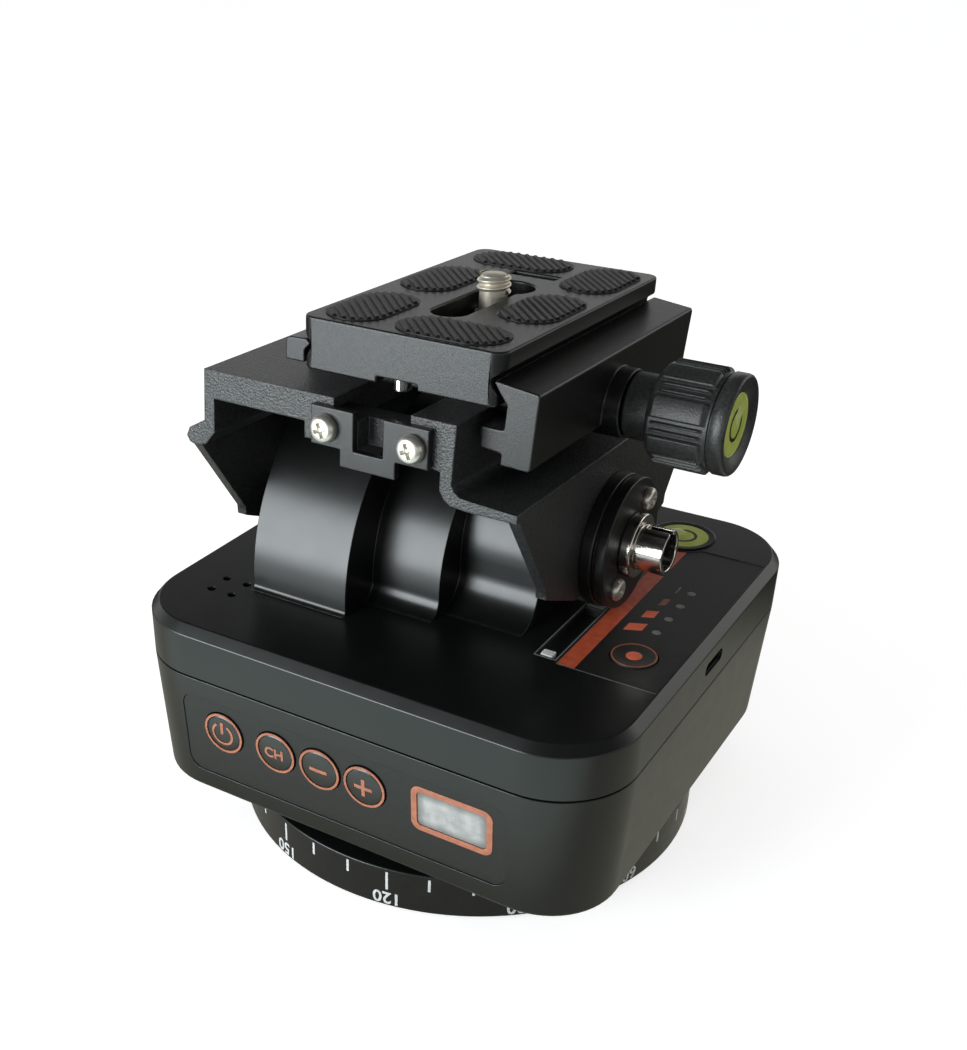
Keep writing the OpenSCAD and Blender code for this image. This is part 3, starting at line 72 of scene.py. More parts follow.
# Sizes read from the frame
BODY_LOW, BODY_HIGH = cad_box("lower_shell")
TOP_Z = cad_box("upper_shell")[1].z
DIAL_HIGH = cad_box("base_dial")[1]
BODY_W = BODY_HIGH.x - BODY_LOW.x
BODY_D = BODY_HIGH.y - BODY_LOW.y
SHELL_LOW = BODY_LOW.z
DIAL_R = DIAL_HIGH.x
PANEL_LOW, PANEL_HIGH = cad_box("top_panel")
TRAY_LOW, TRAY_HIGH = cad_box("switch_tray")

# Sizes of the body that a box does not give
CORNER_R = 16
SEAM_Z = 39.8
SEAM_GAP = 0.3
DRAFT = 1.46
WALL = 2.2
RIM_R = 0.18
BEVEL_H = 1.9
BEVEL_W = 1.65
LIP_H = 1.6
POST_R = 3.5
PANEL_DROP = 0.3
PANEL_T = 0.7
# Height of the top panel's face, which lies less deep than the front panel's
TOP_FACE = TOP_Z - PANEL_DROP / 3

# Middle, width and height of the window, and middle, size and corner of the panel, on the front wall
WINDOW = (23.55, 28.6, 14.4, 7.8)
FRONT_PANEL = (-1.15, 26.55, 71.7, 18.3, 3.0)

# The cradle's own frame: it leans back about the tilt axis
PIVOT = Vector((0, 1.5, 64.4))
REST_TILT = radians(-2.5)
CRADLE = Matrix.Translation(PIVOT) @ Matrix.Rotation(REST_TILT, 4, "X")
WALL_LEAN = atan(DRAFT / (SEAM_Z - SHELL_LOW))


def lean(z):
    return DRAFT * (SEAM_Z - z) / (SEAM_Z - SHELL_LOW)


def on_front(x, z, out=0.0):
    """Frame on the leaning front wall: X along the wall, Y up it and Z out of it."""
    place = at(x, -BODY_D / 2 + lean(z), z)
    return place @ Matrix.Rotation(QUARTER + WALL_LEAN, 4, "X") @ at(0, 0, out)


# Materials


def new_material(name):
    mat = bpy.data.materials.new(name)
    mat.use_nodes = True
    tree = mat.node_tree
    coords = tree.nodes.new("ShaderNodeTexCoord")
    return mat, tree, tree.nodes["Principled BSDF"], coords.outputs["Object"]


def fill(tree, node, inputs):
    """Links each input whose value is a node's output, and sets the others."""
    for key, value in inputs.items():
        if isinstance(value, bpy.types.NodeSocket):
            tree.links.new(value, node.inputs[key])
        else:
            node.inputs[key].default_value = value


def add_node(tree, kind, output, inputs, **settings):
    """One output of a new shader node."""
    node = tree.nodes.new("ShaderNode" + kind)
    for key, value in settings.items():
        setattr(node, key, value)
    fill(tree, node, inputs)
    return node.outputs[output]


def maths(tree, operation, *values):
    return add_node(tree, "Math", "Value", dict(enumerate(values)), operation=operation)


def part_of(tree, vector, axis):
    return add_node(tree, "SeparateXYZ", axis, {"Vector": vector})


def noise(tree, coords, size, detail=2):
    """Noise whose grains are about size millimetres across."""
    return add_node(tree, "TexNoise", "Fac", {"Scale": 1 / (size * MM), "Detail": detail, "Vector": coords})


def remap(tree, value, low, high, from_low=0.3, from_high=0.7):
    ends = {"From Min": from_low, "From Max": from_high, "To Min": low, "To Max": high}
    return add_node(tree, "MapRange", "Result", {"Value": value, **ends})


def patches(tree, coords, size, detail=3):
    """Noise spread from 0 to 1."""
    return remap(tree, noise(tree, coords, size, detail), 0, 1)


def mix_colours(tree, factor, first, second):
    """A mix of two colours, each of them three numbers or a node's output."""
    ends = {"A": first, "B": second}
    ends = {key: (*end, 1) if isinstance(end, tuple) else end for key, end in ends.items()}
    return add_node(tree, "Mix", "Result", {"Factor": factor, **ends}, data_type="RGBA")


def bump(tree, height, depth, before=None):
    """Bump of depth millimetres, on top of an earlier one."""
    inputs = {"Strength": 1, "Distance": depth * MM, "Height": height}
    if before is not None:
        inputs["Normal"] = before
    return add_node(tree, "Bump", "Normal", inputs)


def rounded(tree, radius, samples):
    return add_node(tree, "Bevel", "Normal", {"Radius": radius * MM}, samples=samples)


def any_ray(tree, *kinds):
    """1 where the ray is of one of these kinds."""
    rays = tree.nodes.new("ShaderNodeLightPath")
    found = rays.outputs[kinds[0]]
    for kind in kinds[1:]:
        found = maths(tree, "MAXIMUM", found, rays.outputs[kind])
    return found


def finish(name, dark, light, rough, grain, metallic=0.0, specular=0.5, mottle=6.0, edge_wear_and_highlight=None, edge=0.0):
    """A surface with colour mottling, uneven gloss and fine grain.

    dark and light are the two ends of its colour, rough the range of its roughness, and grain is a
    list of (size, depth) in millimetres. The wear argument lightens all edges: rubbed paint, and also a
    painted highlight along every edge. edge is the radius at which light catches them.
    """
    mat, tree, shader, coords = new_material(name)
    colour = mix_colours(tree, patches(tree, coords, mottle, 4), dark, light)
    # Lighter edges: rubbed paint, and also a painted highlight along every edge
    if edge_wear_and_highlight is not None:
        surface = add_node(tree, "NewGeometry", "Normal", {})
        sides = {0: rounded(tree, 0.35, 4), 1: surface}
        facing = add_node(tree, "VectorMath", "Value", sides, operation="DOT_PRODUCT")
        near_edge = remap(tree, facing, 0.8, 0, 0.8, 0.99)
        worn_and_highlit = maths(tree, "MULTIPLY", near_edge, patches(tree, coords, 1.1))
        colour = mix_colours(tree, worn_and_highlit, colour, edge_wear_and_highlight)
    normal = rounded(tree, edge, 6) if edge else None
    for size, depth in grain:
        normal = bump(tree, noise(tree, coords, size), depth, normal)
    fill(tree, shader, {
        "Base Color": colour,
        "Metallic": metallic,
        "Specular IOR Level": specular,
        "Roughness": remap(tree, noise(tree, coords, mottle * 0.4, 3), *rough),
        "Normal": normal,
    })
    return mat


def lathe_finish(name, dark, light, rough, pitch, depth, axis, metallic=1.0):
    """Turned metal: fine rings along an axis, with uneven gloss."""
    mat, tree, shader, coords = new_material(name)
    wave = {"Scale": 1 / (pitch * MM) / 20 * TAU, "Distortion": 0.4, "Vector": coords}
    rings = add_node(tree, "TexWave", "Fac", wave, bands_direction=axis)
    fill(tree, shader, {
        "Base Color": mix_colours(tree, patches(tree, coords, 2.5, 4), dark, light),
        "Metallic": metallic,
        "Roughness": remap(tree, noise(tree, coords, 0.8, 3), *rough),
        "Normal": bump(tree, rings, depth),
    })
    return mat


def window_finish(x, z, w, h):
    """A frosted pane with painted shade that darkens it toward its frame, and uneven milky patches."""
    mat, tree, shader, coords = new_material("frosted window")
    # Painted shade: the pane's colour is made darker toward its frame, where the recess shades it
    inside = []
    for axis, middle, half in (("X", x, w / 2), ("Z", z, h / 2)):
        from_middle = maths(tree, "SUBTRACT", part_of(tree, coords, axis), middle * MM)
        away = maths(tree, "ABSOLUTE", from_middle)
        inside.append(remap(tree, away, 1, 0, (half - 1.7) * MM, (half + 0.2) * MM))
    cloud = remap(tree, noise(tree, coords, 2.6, 3), 0, 1, 0.35, 0.65)
    milky = mix_colours(tree, cloud, (0.42, 0.43, 0.42), (0.6, 0.61, 0.59))
    fill(tree, shader, {
        "Base Color": mix_colours(tree, maths(tree, "MULTIPLY", *inside), (0.17, 0.175, 0.165), milky),
        "Roughness": remap(tree, noise(tree, coords, 1.2, 3), 0.16, 0.3),
        "Normal": bump(tree, noise(tree, coords, 0.5), 0.006),
    })
    return mat


MATERIALS = {
    "shell_black": finish(
        "satin black shell", (0.006, 0.0072, 0.0064), (0.0085, 0.0098, 0.0088), (0.28, 0.31),
        [(0.3, 0.005)], specular=0.6, edge_wear_and_highlight=(0.03, 0.032, 0.03), mottle=10,
    ),
    "panel_black": finish(
        "printed black panel", (0.009, 0.01, 0.009), (0.017, 0.018, 0.0165), (0.38, 0.5),
        [(0.35, 0.012)], mottle=0.5,
    ),
    "dial_black": finish(
        "anodised black dial", (0.006, 0.0066, 0.0066), (0.01, 0.0106, 0.0106), (0.26, 0.34),
        [(0.3, 0.003)], edge_wear_and_highlight=(0.06, 0.06, 0.06),
    ),
    "cast_black": finish(
        "cast black paint", (0.008, 0.009, 0.0088), (0.05, 0.053, 0.052), (0.3, 0.42),
        [(0.42, 0.16), (0.2, 0.06)], specular=0.75, mottle=0.45, edge_wear_and_highlight=(0.12, 0.12, 0.12), edge=0.45,
    ),
    "anodised_black": finish(
        "anodised black", (0.005, 0.0055, 0.005), (0.009, 0.0097, 0.009), (0.3, 0.38),
        [(0.25, 0.018)], specular=0.6, mottle=1, edge_wear_and_highlight=(0.09, 0.09, 0.09), edge=0.3,
    ),
    "steel_bright": lathe_finish(
        "polished nickel", (0.62, 0.6, 0.55), (0.78, 0.75, 0.7), (0.1, 0.2), 0.5, 0.002, "X",
    ),
    "steel_plain": finish(
        "plain steel", (0.42, 0.42, 0.42), (0.56, 0.56, 0.55), (0.28, 0.42), [(0.4, 0.004)], metallic=1,
    ),
    "rubber_black": finish(
        "black rubber", (0.008, 0.008, 0.0078), (0.014, 0.014, 0.0135), (0.4, 0.52), [(0.25, 0.02)],
        specular=0.45, mottle=1,
    ),
    "bronze_bush": finish(
        "sintered bronze", (0.5, 0.33, 0.14), (0.62, 0.43, 0.2), (0.35, 0.5), [(0.3, 0.01)], metallic=1,
    ),
    "gear_white": finish(
        "white nylon", (0.68, 0.65, 0.55), (0.78, 0.75, 0.66), (0.45, 0.55), [(0.5, 0.005)],
    ),
    "board_green": finish(
        "green board", (0.02, 0.13, 0.05), (0.035, 0.19, 0.08), (0.3, 0.4), [(0.8, 0.01)], mottle=2,
    ),
    "battery_blue": finish(
        "blue shrink film", (0.045, 0.1, 0.26), (0.07, 0.14, 0.33), (0.25, 0.4), [(3, 0.05)],
    ),
    "light_orange": finish(
        "orange light", (0.75, 0.12, 0.055), (0.9, 0.19, 0.09), (0.3, 0.4), [(0.3, 0.004)], mottle=2,
    ),
    "light_white": finish(
        "dim white light", (0.13, 0.14, 0.13), (0.22, 0.23, 0.21), (0.3, 0.4), [(0.3, 0.004)], mottle=1,
    ),
    "window_white": window_finish(*WINDOW),
    "level_green": finish(
        "green level liquid", (0.5, 0.58, 0.09), (0.68, 0.76, 0.19), (0.06, 0.14), [(1.5, 0.005)], mottle=4,
    ),
    "tab_white": finish(
        "white tab", (0.7, 0.7, 0.69), (0.84, 0.84, 0.83), (0.3, 0.4), [(0.3, 0.005)],
    ),
}
PRINT_ORANGE = finish(
    "copper print", (0.45, 0.15, 0.08), (0.6, 0.22, 0.13), (0.3, 0.42), [(0.2, 0.006)],
    specular=0.7, mottle=1.2,
)
STRIPE_ORANGE = finish(
    "orange stripe", (0.55, 0.085, 0.035), (0.68, 0.13, 0.06), (0.34, 0.46), [(0.3, 0.008)], mottle=1.5,
)
PRINT_DIM_ORANGE = finish(
    "dim orange print", (0.3, 0.09, 0.045), (0.42, 0.14, 0.07), (0.4, 0.52), [(0.2, 0.004)], mottle=1.5,
)
DIM_TAN = finish(
    "dim tan light", (0.2, 0.085, 0.035), (0.3, 0.13, 0.06), (0.35, 0.45), [(0.2, 0.004)], mottle=1,
)
PRINT_WHITE = finish(
    "white paint fill", (0.72, 0.73, 0.72), (0.88, 0.89, 0.88), (0.4, 0.55), [(0.2, 0.01)], mottle=1,
)
PRINT_GREY = finish(
    "grey print", (0.2, 0.2, 0.19), (0.3, 0.3, 0.29), (0.4, 0.5), [(0.2, 0.004)], mottle=1,
)
SCREW_STEEL = finish(
    "satin screw steel", (0.68, 0.65, 0.58), (0.82, 0.79, 0.72), (0.3, 0.42), [(0.3, 0.006)],
    metallic=0.85, mottle=1,
)
WARM_NICKEL = lathe_finish(
    "warm nickel", (0.76, 0.7, 0.57), (0.88, 0.83, 0.71), (0.36, 0.48), 0.4, 0.002, "Z", 0.75,
)
BEZEL_BLACK = finish(
    "glossy bezel", (0.006, 0.0065, 0.006), (0.01, 0.011, 0.01), (0.14, 0.24), [(0.3, 0.003)], mottle=3,
)
KNOB_BLACK = finish(
    "grained knob", (0.018, 0.0192, 0.0185), (0.045, 0.048, 0.046), (0.3, 0.42),
    [(0.34, 0.05), (0.18, 0.02)], specular=0.55, mottle=0.5, edge=0.2,
)
CAP_BLACK = finish(
    "glossy button", (0.007, 0.0075, 0.007), (0.012, 0.0125, 0.0115), (0.2, 0.28), [(0.4, 0.004)],
    specular=0.8, mottle=1.5,
)
# The port's metal, painted near black: painted shade inside its opening
PORT_IN_PAINTED_SHADE = finish(
    "dark port", (0.01, 0.01, 0.01), (0.03, 0.03, 0.03), (0.4, 0.5), [(0.3, 0.004)],
    metallic=0.6, mottle=1.5,
)
DARK_INK = finish(
    "dark ink", (0.01, 0.012, 0.008), (0.02, 0.024, 0.014), (0.3, 0.4), [(0.2, 0.003)], mottle=1,
)
# A bubble in the level, its lighter green also a painted highlight
BUBBLE_AND_HIGHLIGHT = finish(
    "bubble", (0.6, 0.72, 0.2), (0.75, 0.85, 0.36), (0.05, 0.1), [(0.8, 0.003)], mottle=2,
)


# Mesh helpers


def paint(obj, material):
    obj.data.materials.clear()
    obj.data.materials.append(material)


def add_object(name, mesh, material=None):
    obj = bpy.data.objects.new(name, mesh)
    SCENE.collection.objects.link(obj)
    if material is not None:
        paint(obj, material)
    return obj


def scaled(matrix):
    """The same placement, for a mesh that is already in metres."""
    place = matrix.copy()
    place.translation = matrix.translation * MM
    return place


def from_bmesh(name, bm, material=None, place=None):
    """Object from a bmesh drawn in millimetres, put in its place."""
    bmesh.ops.recalc_face_normals(bm, faces=bm.faces)
    bmesh.ops.scale(bm, vec=(MM, MM, MM), verts=bm.verts)
    mesh = bpy.data.meshes.new(name)
    bm.to_mesh(mesh)
    bm.free()
    if place is not None:
        mesh.transform(scaled(place))
    return add_object(name, mesh, material)


@contextmanager
def editing(obj):
    """An object's mesh as a bmesh, written back when the block ends."""
    bm = bmesh.new()
    bm.from_mesh(obj.data)
    yield bm
    bm.to_mesh(obj.data)
    bm.free()


def evaluated_mesh(obj):
    """A new mesh of an object with its modifiers, or of a text, applied."""
    bpy.context.view_layer.update()
    graph = bpy.context.evaluated_depsgraph_get()
    return bpy.data.meshes.new_from_object(obj.evaluated_get(graph))


def bake_modifiers(obj):
    mesh = evaluated_mesh(obj)
    old = obj.data
    obj.modifiers.clear()
    obj.data = mesh
    bpy.data.meshes.remove(old)


def boolean(obj, others, operation="DIFFERENCE"):
    for other in others:
        cut = obj.modifiers.new("boolean", "BOOLEAN")
        cut.operation = operation
        cut.solver = "EXACT"
        cut.object = other
    bake_modifiers(obj)
    for other in others:
        bpy.data.objects.remove(other)


def tidy_faces(obj, angle=0.6):
    """Welds doubled points and joins the faces that lie in one plane."""
    with editing(obj) as bm:
        bmesh.ops.remove_doubles(bm, verts=bm.verts, dist=0.002 * MM)
        limit = {"angle_limit": radians(angle), "delimit": {"NORMAL"}}
        bmesh.ops.dissolve_limit(bm, verts=bm.verts, edges=bm.edges, **limit)


def smooth(obj):
    for face in obj.data.polygons:
        face.use_smooth = True


def soften(obj, edge=0.0, steps=2, sharp=32, clamp=False):
    """Rounds the sharp edges by edge millimetres and shades the mesh smoothly."""
    smooth(obj)
    if edge:
        bevel = obj.modifiers.new("bevel", "BEVEL")
        bevel.width = edge * MM
        bevel.segments = steps
        bevel.limit_method = "ANGLE"
        bevel.angle_limit = radians(sharp)
        bevel.use_clamp_overlap = clamp
        bevel.miter_outer = "MITER_ARC"
        bevel.harden_normals = False
    weighted = obj.modifiers.new("normals", "WEIGHTED_NORMAL")
    weighted.keep_sharp = True
    with editing(obj) as bm:
        for e in bm.edges:
            if not edge and len(e.link_faces) == 2 and e.calc_face_angle(0) > radians(sharp):
                e.smooth = False
    bake_modifiers(obj)


def body_of_node(node):
    return next(body for body, nodes in frame["record"]["behaviour"]["bodies"].items() if node in nodes)


SLOT_OF_NODE = {s["node"]: s["material_slot"] for s in frame["record"]["subparts"]}


def hand_over(obj, node=None, body=None, replaces=()):
    """Rides a piece on its body and hides the CAD nodes that it replaces."""
    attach(obj, body or body_of_node(node))
    if replaces:
        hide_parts(*replaces)
    return obj


def stand_for(node, obj, material=None):
    """Paints a piece that stands for a CAD node."""
    paint(obj, material or MATERIALS[SLOT_OF_NODE[node]])
    return hand_over(obj, node, replaces=[node])


def dress(node, edge, steps=2, material=None, clamp=False):
    """A copy of a CAD node with rounded edges, which stands for the node."""
    obj = add_object(node + "_dressed", frame["nodes"][node].data.copy())
    tidy_faces(obj)
    soften(obj, edge, steps, clamp=clamp)
    return stand_for(node, obj, material)


def spread(start, stop, steps):
    """Numbers at even steps, both ends included."""
    return [start + (stop - start) * k / steps for k in range(steps + 1)]


def rectangle(x0, y0, x1, y1):
    return [(x0, y0), (x1, y0), (x1, y1), (x0, y1)]


def corner_points(w, d, r, steps=14):
    """Outline of a rectangle with round corners, from its right side round to the left."""
    points = []
    for k, (sx, sy) in enumerate([(1, 1), (-1, 1), (-1, -1), (1, -1)]):
        for a in spread(k * QUARTER, (k + 1) * QUARTER, steps):
            points.append((sx * (w / 2 - r) + r * cos(a), sy * (d / 2 - r) + r * sin(a)))
    return points


def disc_points(r, steps=96):
    return [(r * cos(TAU * i / steps), r * sin(TAU * i / steps)) for i in range(steps)]


def stitch(bm, rings, capped=True):
    """Joins rings of points into a skin; each ring has as many points as the first."""
    loops = [[bm.verts.new(p) for p in ring] for ring in rings]
    n = len(loops[0])
    for a, b in zip(loops, loops[1:]):
        for i in range(n):
            j = (i + 1) % n
            bm.faces.new((a[i], a[j], b[j], b[i]))
    if capped:
        bm.faces.new(list(reversed(loops[0])))
        bm.faces.new(loops[-1])


def inset_outline(points, d):
    """Moves each corner of a closed outline inward by d along its mitre. Points run anticlockwise."""
    if not d:
        return points
    n = len(points)
    moved = []
    for i in range(n):
        p0, p1, p2 = (Vector(points[(i + k) % n]) for k in (-1, 0, 1))
        a = (p1 - p0).normalized()
        b = (p2 - p1).normalized()
        normal = Vector((-(a.y + b.y), a.x + b.x))
        if normal.length < 1e-6:
            moved.append(tuple(p1))
            continue
        normal.normalize()
        cosine = max(0.35, normal.dot(Vector((-a.y, a.x))))
        moved.append(tuple(p1 + normal * (d / cosine)))
    return moved


def prism(name, outline, z0, z1, edge=0.0, steps=3, place=None, material=None):
    """Outline in X and Y drawn up from z0 to z1, with its rims rounded by insetting them."""
    levels = [(z0, 0), (z1, 0)]
    if edge:
        arc = [(edge * (1 - sin(a)), edge * (1 - cos(a))) for a in spread(0, QUARTER, steps)]
        levels = [(z0 + rise, inset) for rise, inset in reversed(arc)]
        levels += [(z1 - rise, inset) for rise, inset in arc]
    bm = bmesh.new()
    stitch(bm, [[(x, y, z) for x, y in inset_outline(outline, d)] for z, d in levels])
    return from_bmesh(name, bm, material, place)


def lathe(name, profile, steps=96, place=None, material=None):
    """Turns a profile of (radius, height) points about Z."""
    circle = disc_points(1, steps)
    bm = bmesh.new()
    stitch(bm, [[(r * c, r * s, z) for c, s in circle] for r, z in profile])
    return from_bmesh(name, bm, material, place)


def rod(name, r, z0, z1, steps=64, place=None):
    return lathe(name, [(r, z0), (r, z1)], steps, place)


def rods(name, r, z0, z1, places, steps=32):
    return [rod(name, r, z0, z1, steps, at(x, y)) for x, y in places]


def join(objects, name):
    """One object from several, in place, with the material of the first."""
    bm = bmesh.new()
    for obj in objects:
        bm.from_mesh(obj.data)
    mesh = bpy.data.meshes.new(name)
    bm.to_mesh(mesh)
    bm.free()
    for mat in objects[0].data.materials:
        mesh.materials.append(mat)
    for obj in objects:
        bpy.data.objects.remove(obj)
    return add_object(name, mesh)


# Body shells


def loft_body(name, levels):
    """A block with the body's outline, inset at each of its (height, inset) levels."""
    bm = bmesh.new()
    rings = []
    for z, inset in levels:
        outline = corner_points(BODY_W - 2 * inset, BODY_D - 2 * inset, CORNER_R - inset)
        rings.append([(x, y, z) for x, y in outline])
    stitch(bm, rings)
    return from_bmesh(name, bm)


def round_over(z, inset, r, start, stop, steps=4):
    """Levels along an arc of radius r about (z, inset), from angle start to stop in degrees."""
    angles = spread(radians(start), radians(stop), steps)
    return [(z + r * sin(a), inset - r * cos(a)) for a in angles]


POSTS = [(x * (BODY_W / 2 - 10), y * (BODY_D / 2 - 10)) for x in (-1, 1) for y in (-1, 1)]
BUTTONS = {"power": -27.4, "channel": -15.0, "minus": -4.8, "plus": 5.25}
BUTTON_Z = 28.9
BUTTON_R = 4.5
GAP = 0.2


def build_lower_shell():
    edge = 1.0
    levels = round_over(SHELL_LOW + edge, DRAFT + edge, edge, -90, 0)
    levels = [(z, inset if z <= SHELL_LOW + edge else lean(z)) for z, inset in levels]
    levels += round_over(SEAM_Z - RIM_R, RIM_R, RIM_R, 0, 90, 3)
    shell = loft_body("lower_shell_body", levels)
    floor_z = SHELL_LOW + WALL
    boolean(shell, [loft_body("cavity", [(floor_z, DRAFT + WALL), (SEAM_Z + 1, WALL)])])
    lip = loft_body("lip", [(SEAM_Z - 3, 1.15), (SEAM_Z + LIP_H, 1.15)])
    boolean(lip, [loft_body("lip_bore", [(SEAM_Z - 4, WALL), (SEAM_Z + 4, WALL)])])
    boolean(shell, [lip] + rods("post", POST_R, SHELL_LOW + 1.1, SEAM_Z, POSTS), "UNION")
    cuts = [rod("axle_hole", 9.05, 0, 2 * floor_z)] + rods("screw_hole", 3.0, 0, floor_z + 3, POSTS)
    x, z, w, h, r = FRONT_PANEL
    sunk = corner_points(w + 0.04, h + 0.04, r, 8)
    cuts.append(prism("panel_seat", sunk, 0, WALL, place=on_front(x, z, -PANEL_DROP - PANEL_T)))
    for x in BUTTONS.values():
        cuts.append(rod("button_hole", BUTTON_R + GAP, -3 * WALL, WALL, 48, on_front(x, BUTTON_Z)))
    x, z, w, h = WINDOW
    cuts.append(prism("window_hole", corner_points(w, h, 1, 6), -3 * WALL, WALL, place=on_front(x, z)))
    boolean(shell, cuts)
    tidy_faces(shell, 0.2)
    soften(shell, 0.12, 2, 40)
    stand_for("lower_shell", shell)


RECORD = (41.2, -14.6)
RECORD_R = 4.3
LEVEL = (30.3, 36.8)
LEVEL_R = 6.8
# Radius at which the top panel is cut back round the level
LEVEL_CLEAR = LEVEL_R + 0.8
PANEL_BACK = 32.1
LIGHT_Y0 = -4.3
LIGHT_PITCH = 5.95
BAR_X = 38.7
BAR_W = 3.2
BAR_L = 3
DOT_X = 41.3
DOT_R = 0.85
VENTS = (-37.4, -32.7)
VENT_REACH = 2.5
VENT_R = 0.9
# Middle, width and height of the opening on the right wall
USB = (0.6, 45.0, 8.8, 2.6)
DRUM_Y = 6
# Openings under the drum's arches: their ends in X and half their width
DRUM_HOLES = [(-29, -13.5, 33.4), (-13.55, 1.5, 23.7), (1.45, 16.6, 17.8)]


def light_bar(k):
    """Outline of a battery light; its right end lies at x = 0."""
    w = max(0.4, BAR_W * (1 - 0.3 * k))
    low = -BAR_L / 2
    rise = 0.45 * w / 2
    return [(-w, low - rise), (0, low + rise), (0, low + rise + BAR_L), (-w, low - rise + BAR_L)]


def top_panel_outline(grow=0.0):
    """Outline of the top panel, cut back round the spirit level."""
    r = LEVEL_CLEAR - grow
    x0, x1 = PANEL_LOW.x - grow, PANEL_HIGH.x + grow
    y0, y1 = PANEL_LOW.y - grow, PANEL_BACK + grow
    start = atan2(y1 - LEVEL[1], sqrt(r * r - (LEVEL[1] - y1) ** 2))
    stop = atan2(-sqrt(r * r - (LEVEL[0] - x0) ** 2), x0 - LEVEL[0])
    arc = [(LEVEL[0] + r * cos(a), LEVEL[1] + r * sin(a)) for a in spread(start, stop, 20)]
    return [(x0, y0), (x1, y0), (x1, y1)] + arc


def build_upper_shell():
    soft = 0.45
    low = SEAM_Z + SEAM_GAP
    roof_low = TOP_Z - WALL
    slope = degrees(atan2(BEVEL_W, BEVEL_H))
    start = soft * tan(radians(slope / 2))
    stop = soft * tan(radians((90 - slope) / 2))
    levels = round_over(low + RIM_R, RIM_R, RIM_R, -90, 0, 3)
    levels += round_over(TOP_Z - BEVEL_H - start, soft, soft, 0, slope, 3)
    levels += round_over(TOP_Z - soft, BEVEL_W + stop, soft, slope, 90, 4)
    shell = loft_body("upper_shell_body", levels)
    cavity = loft_body("cavity", [(SEAM_Z - 1, WALL), (roof_low, WALL)])
    register = loft_body("register", [(SEAM_Z - 1, WALL / 2), (SEAM_Z + LIP_H, WALL / 2)])
    boolean(shell, [cavity, register])
    boolean(shell, rods("post", POST_R, low, roof_low + 1, POSTS), "UNION")
    through = (roof_low - 1, TOP_Z + 1)
    tray = rectangle(TRAY_LOW.x, TRAY_LOW.y, TRAY_HIGH.x, TRAY_HIGH.y)
    cuts = [
        prism("panel_seat", top_panel_outline(0.02), TOP_FACE - PANEL_T, TOP_Z + 1),
        rod("level_seat", LEVEL_R, TOP_Z - 1.5, TOP_Z + 1, 64, at(*LEVEL)),
        rod("record_hole", RECORD_R + GAP, *through, 48, at(*RECORD)),
        prism("tray_hole", tray, *through),
    ]
    off = (-VENT_REACH, VENT_REACH)
    vents = [(VENTS[0] + x, VENTS[1] + y) for x in off for y in off]
    cuts += rods("vent", VENT_R, *through, vents, 24)
    y, z, w, h = USB
    side = at(BODY_W / 2 - 4, y, z) @ ALONG_X
    cuts.append(prism("usb_hole", corner_points(w, h, h / 2 - 0.02, 8), -1, 8, place=side))
    for x0, x1, r in DRUM_HOLES:
        cuts.append(prism("drum_hole", rectangle(x0, DRUM_Y - r, x1, DRUM_Y + r), *through))
    for k in range(4):
        y = LIGHT_Y0 + k * LIGHT_PITCH
        cuts.append(rod("dot_hole", DOT_R, *through, 24, at(DOT_X, y)))
        cuts.append(prism("bar_hole", light_bar(k), *through, place=at(BAR_X, y)))
    boolean(shell, cuts)
    tidy_faces(shell, 0.2)
    soften(shell, 0.1, 2, 40)
    stand_for("upper_shell", shell)


# Drum cover


# Each arch: its ends in X, the radius, its foot's radius, its centre's height and the inside's radius
DRUM_X0, DRUM_X1, DRUM_X2, DRUM_X3 = -33, -11.3, 3.7, cad_box("drum_cover")[1].x
DRUM_ARCHES = [
    (DRUM_X0, DRUM_X1, 36.4, 1, 1, 34.2),
    (DRUM_X1, DRUM_X2, 26.7, 3.5, 3.5, 24.5),
    (DRUM_X2, DRUM_X3, 18.8, 7, 9.5, 18.2),
]
DRUM_END_T = 4


def arch_outline(r, foot, height):
    """Half of it is a foot that sweeps up from the roof, a short wall and a quarter of the arch."""
    sweep = spread(QUARTER, 0, 18)
    arc = spread(0, QUARTER, 48)[0 if height > foot else 1:]
    half = [(r + foot - foot * cos(a), foot - foot * sin(a)) for a in sweep]
    half += [(r * cos(a), height + r * sin(a)) for a in arc]
    return half + [(-y, z) for y, z in reversed(half[:-1])]


def build_drum():
    """The stepped drum cover, hollow, with feet that run into its arches without a step."""
    place = at(0, DRUM_Y, TOP_Z) @ ALONG_X
    arches, hollows = [], []
    for x0, x1, r, foot, height, inside in DRUM_ARCHES:
        arches.append(prism("drum_cover_dressed", arch_outline(r, foot, height), x0, x1 + 0.01, place=place))
        low = x0 + DRUM_END_T if x0 == DRUM_X0 else x0 - WALL - 0.01
        high = x1 - DRUM_END_T if x1 == DRUM_X3 else x1 - WALL
        half_disc = [(inside, -0.5)] + disc_points(inside)[:49] + [(-inside, -0.5)]
        hollows.append(prism("hollow", half_disc, low, high, place=place))
    bore_place = Matrix.Translation(PIVOT) @ Matrix.Rotation(QUARTER, 4, "Y")
    hollows.append(rod("bore", 5.4, DRUM_X0 - 1, DRUM_X3 + 1, 64, bore_place))
    drum = arches[0]
    boolean(drum, arches[1:], "UNION")
    boolean(drum, hollows)
    tidy_faces(drum, 0.3)
    soften(drum, 0.18, 3)
    stand_for("drum_cover", drum)


# Printed signs and thin trim


PRINT_T = 0.03
SIGN_T = 0.09
# Width of a button's sign strokes
STROKE = 0.72


def ring_mesh(name, outer, inner, height, place, material):
    """A flat band between two outlines that have as many points as each other."""
    low_out, top_out = ([(x, y, z) for x, y in outer] for z in (-height, height))
    top_in, low_in = ([(x, y, z) for x, y in inner] for z in (height, -height))
    bm = bmesh.new()
    stitch(bm, [low_out, top_out, top_in, low_in, low_out], capped=False)
    bmesh.ops.remove_doubles(bm, verts=bm.verts, dist=1e-5)
    return from_bmesh(name, bm, material, place)


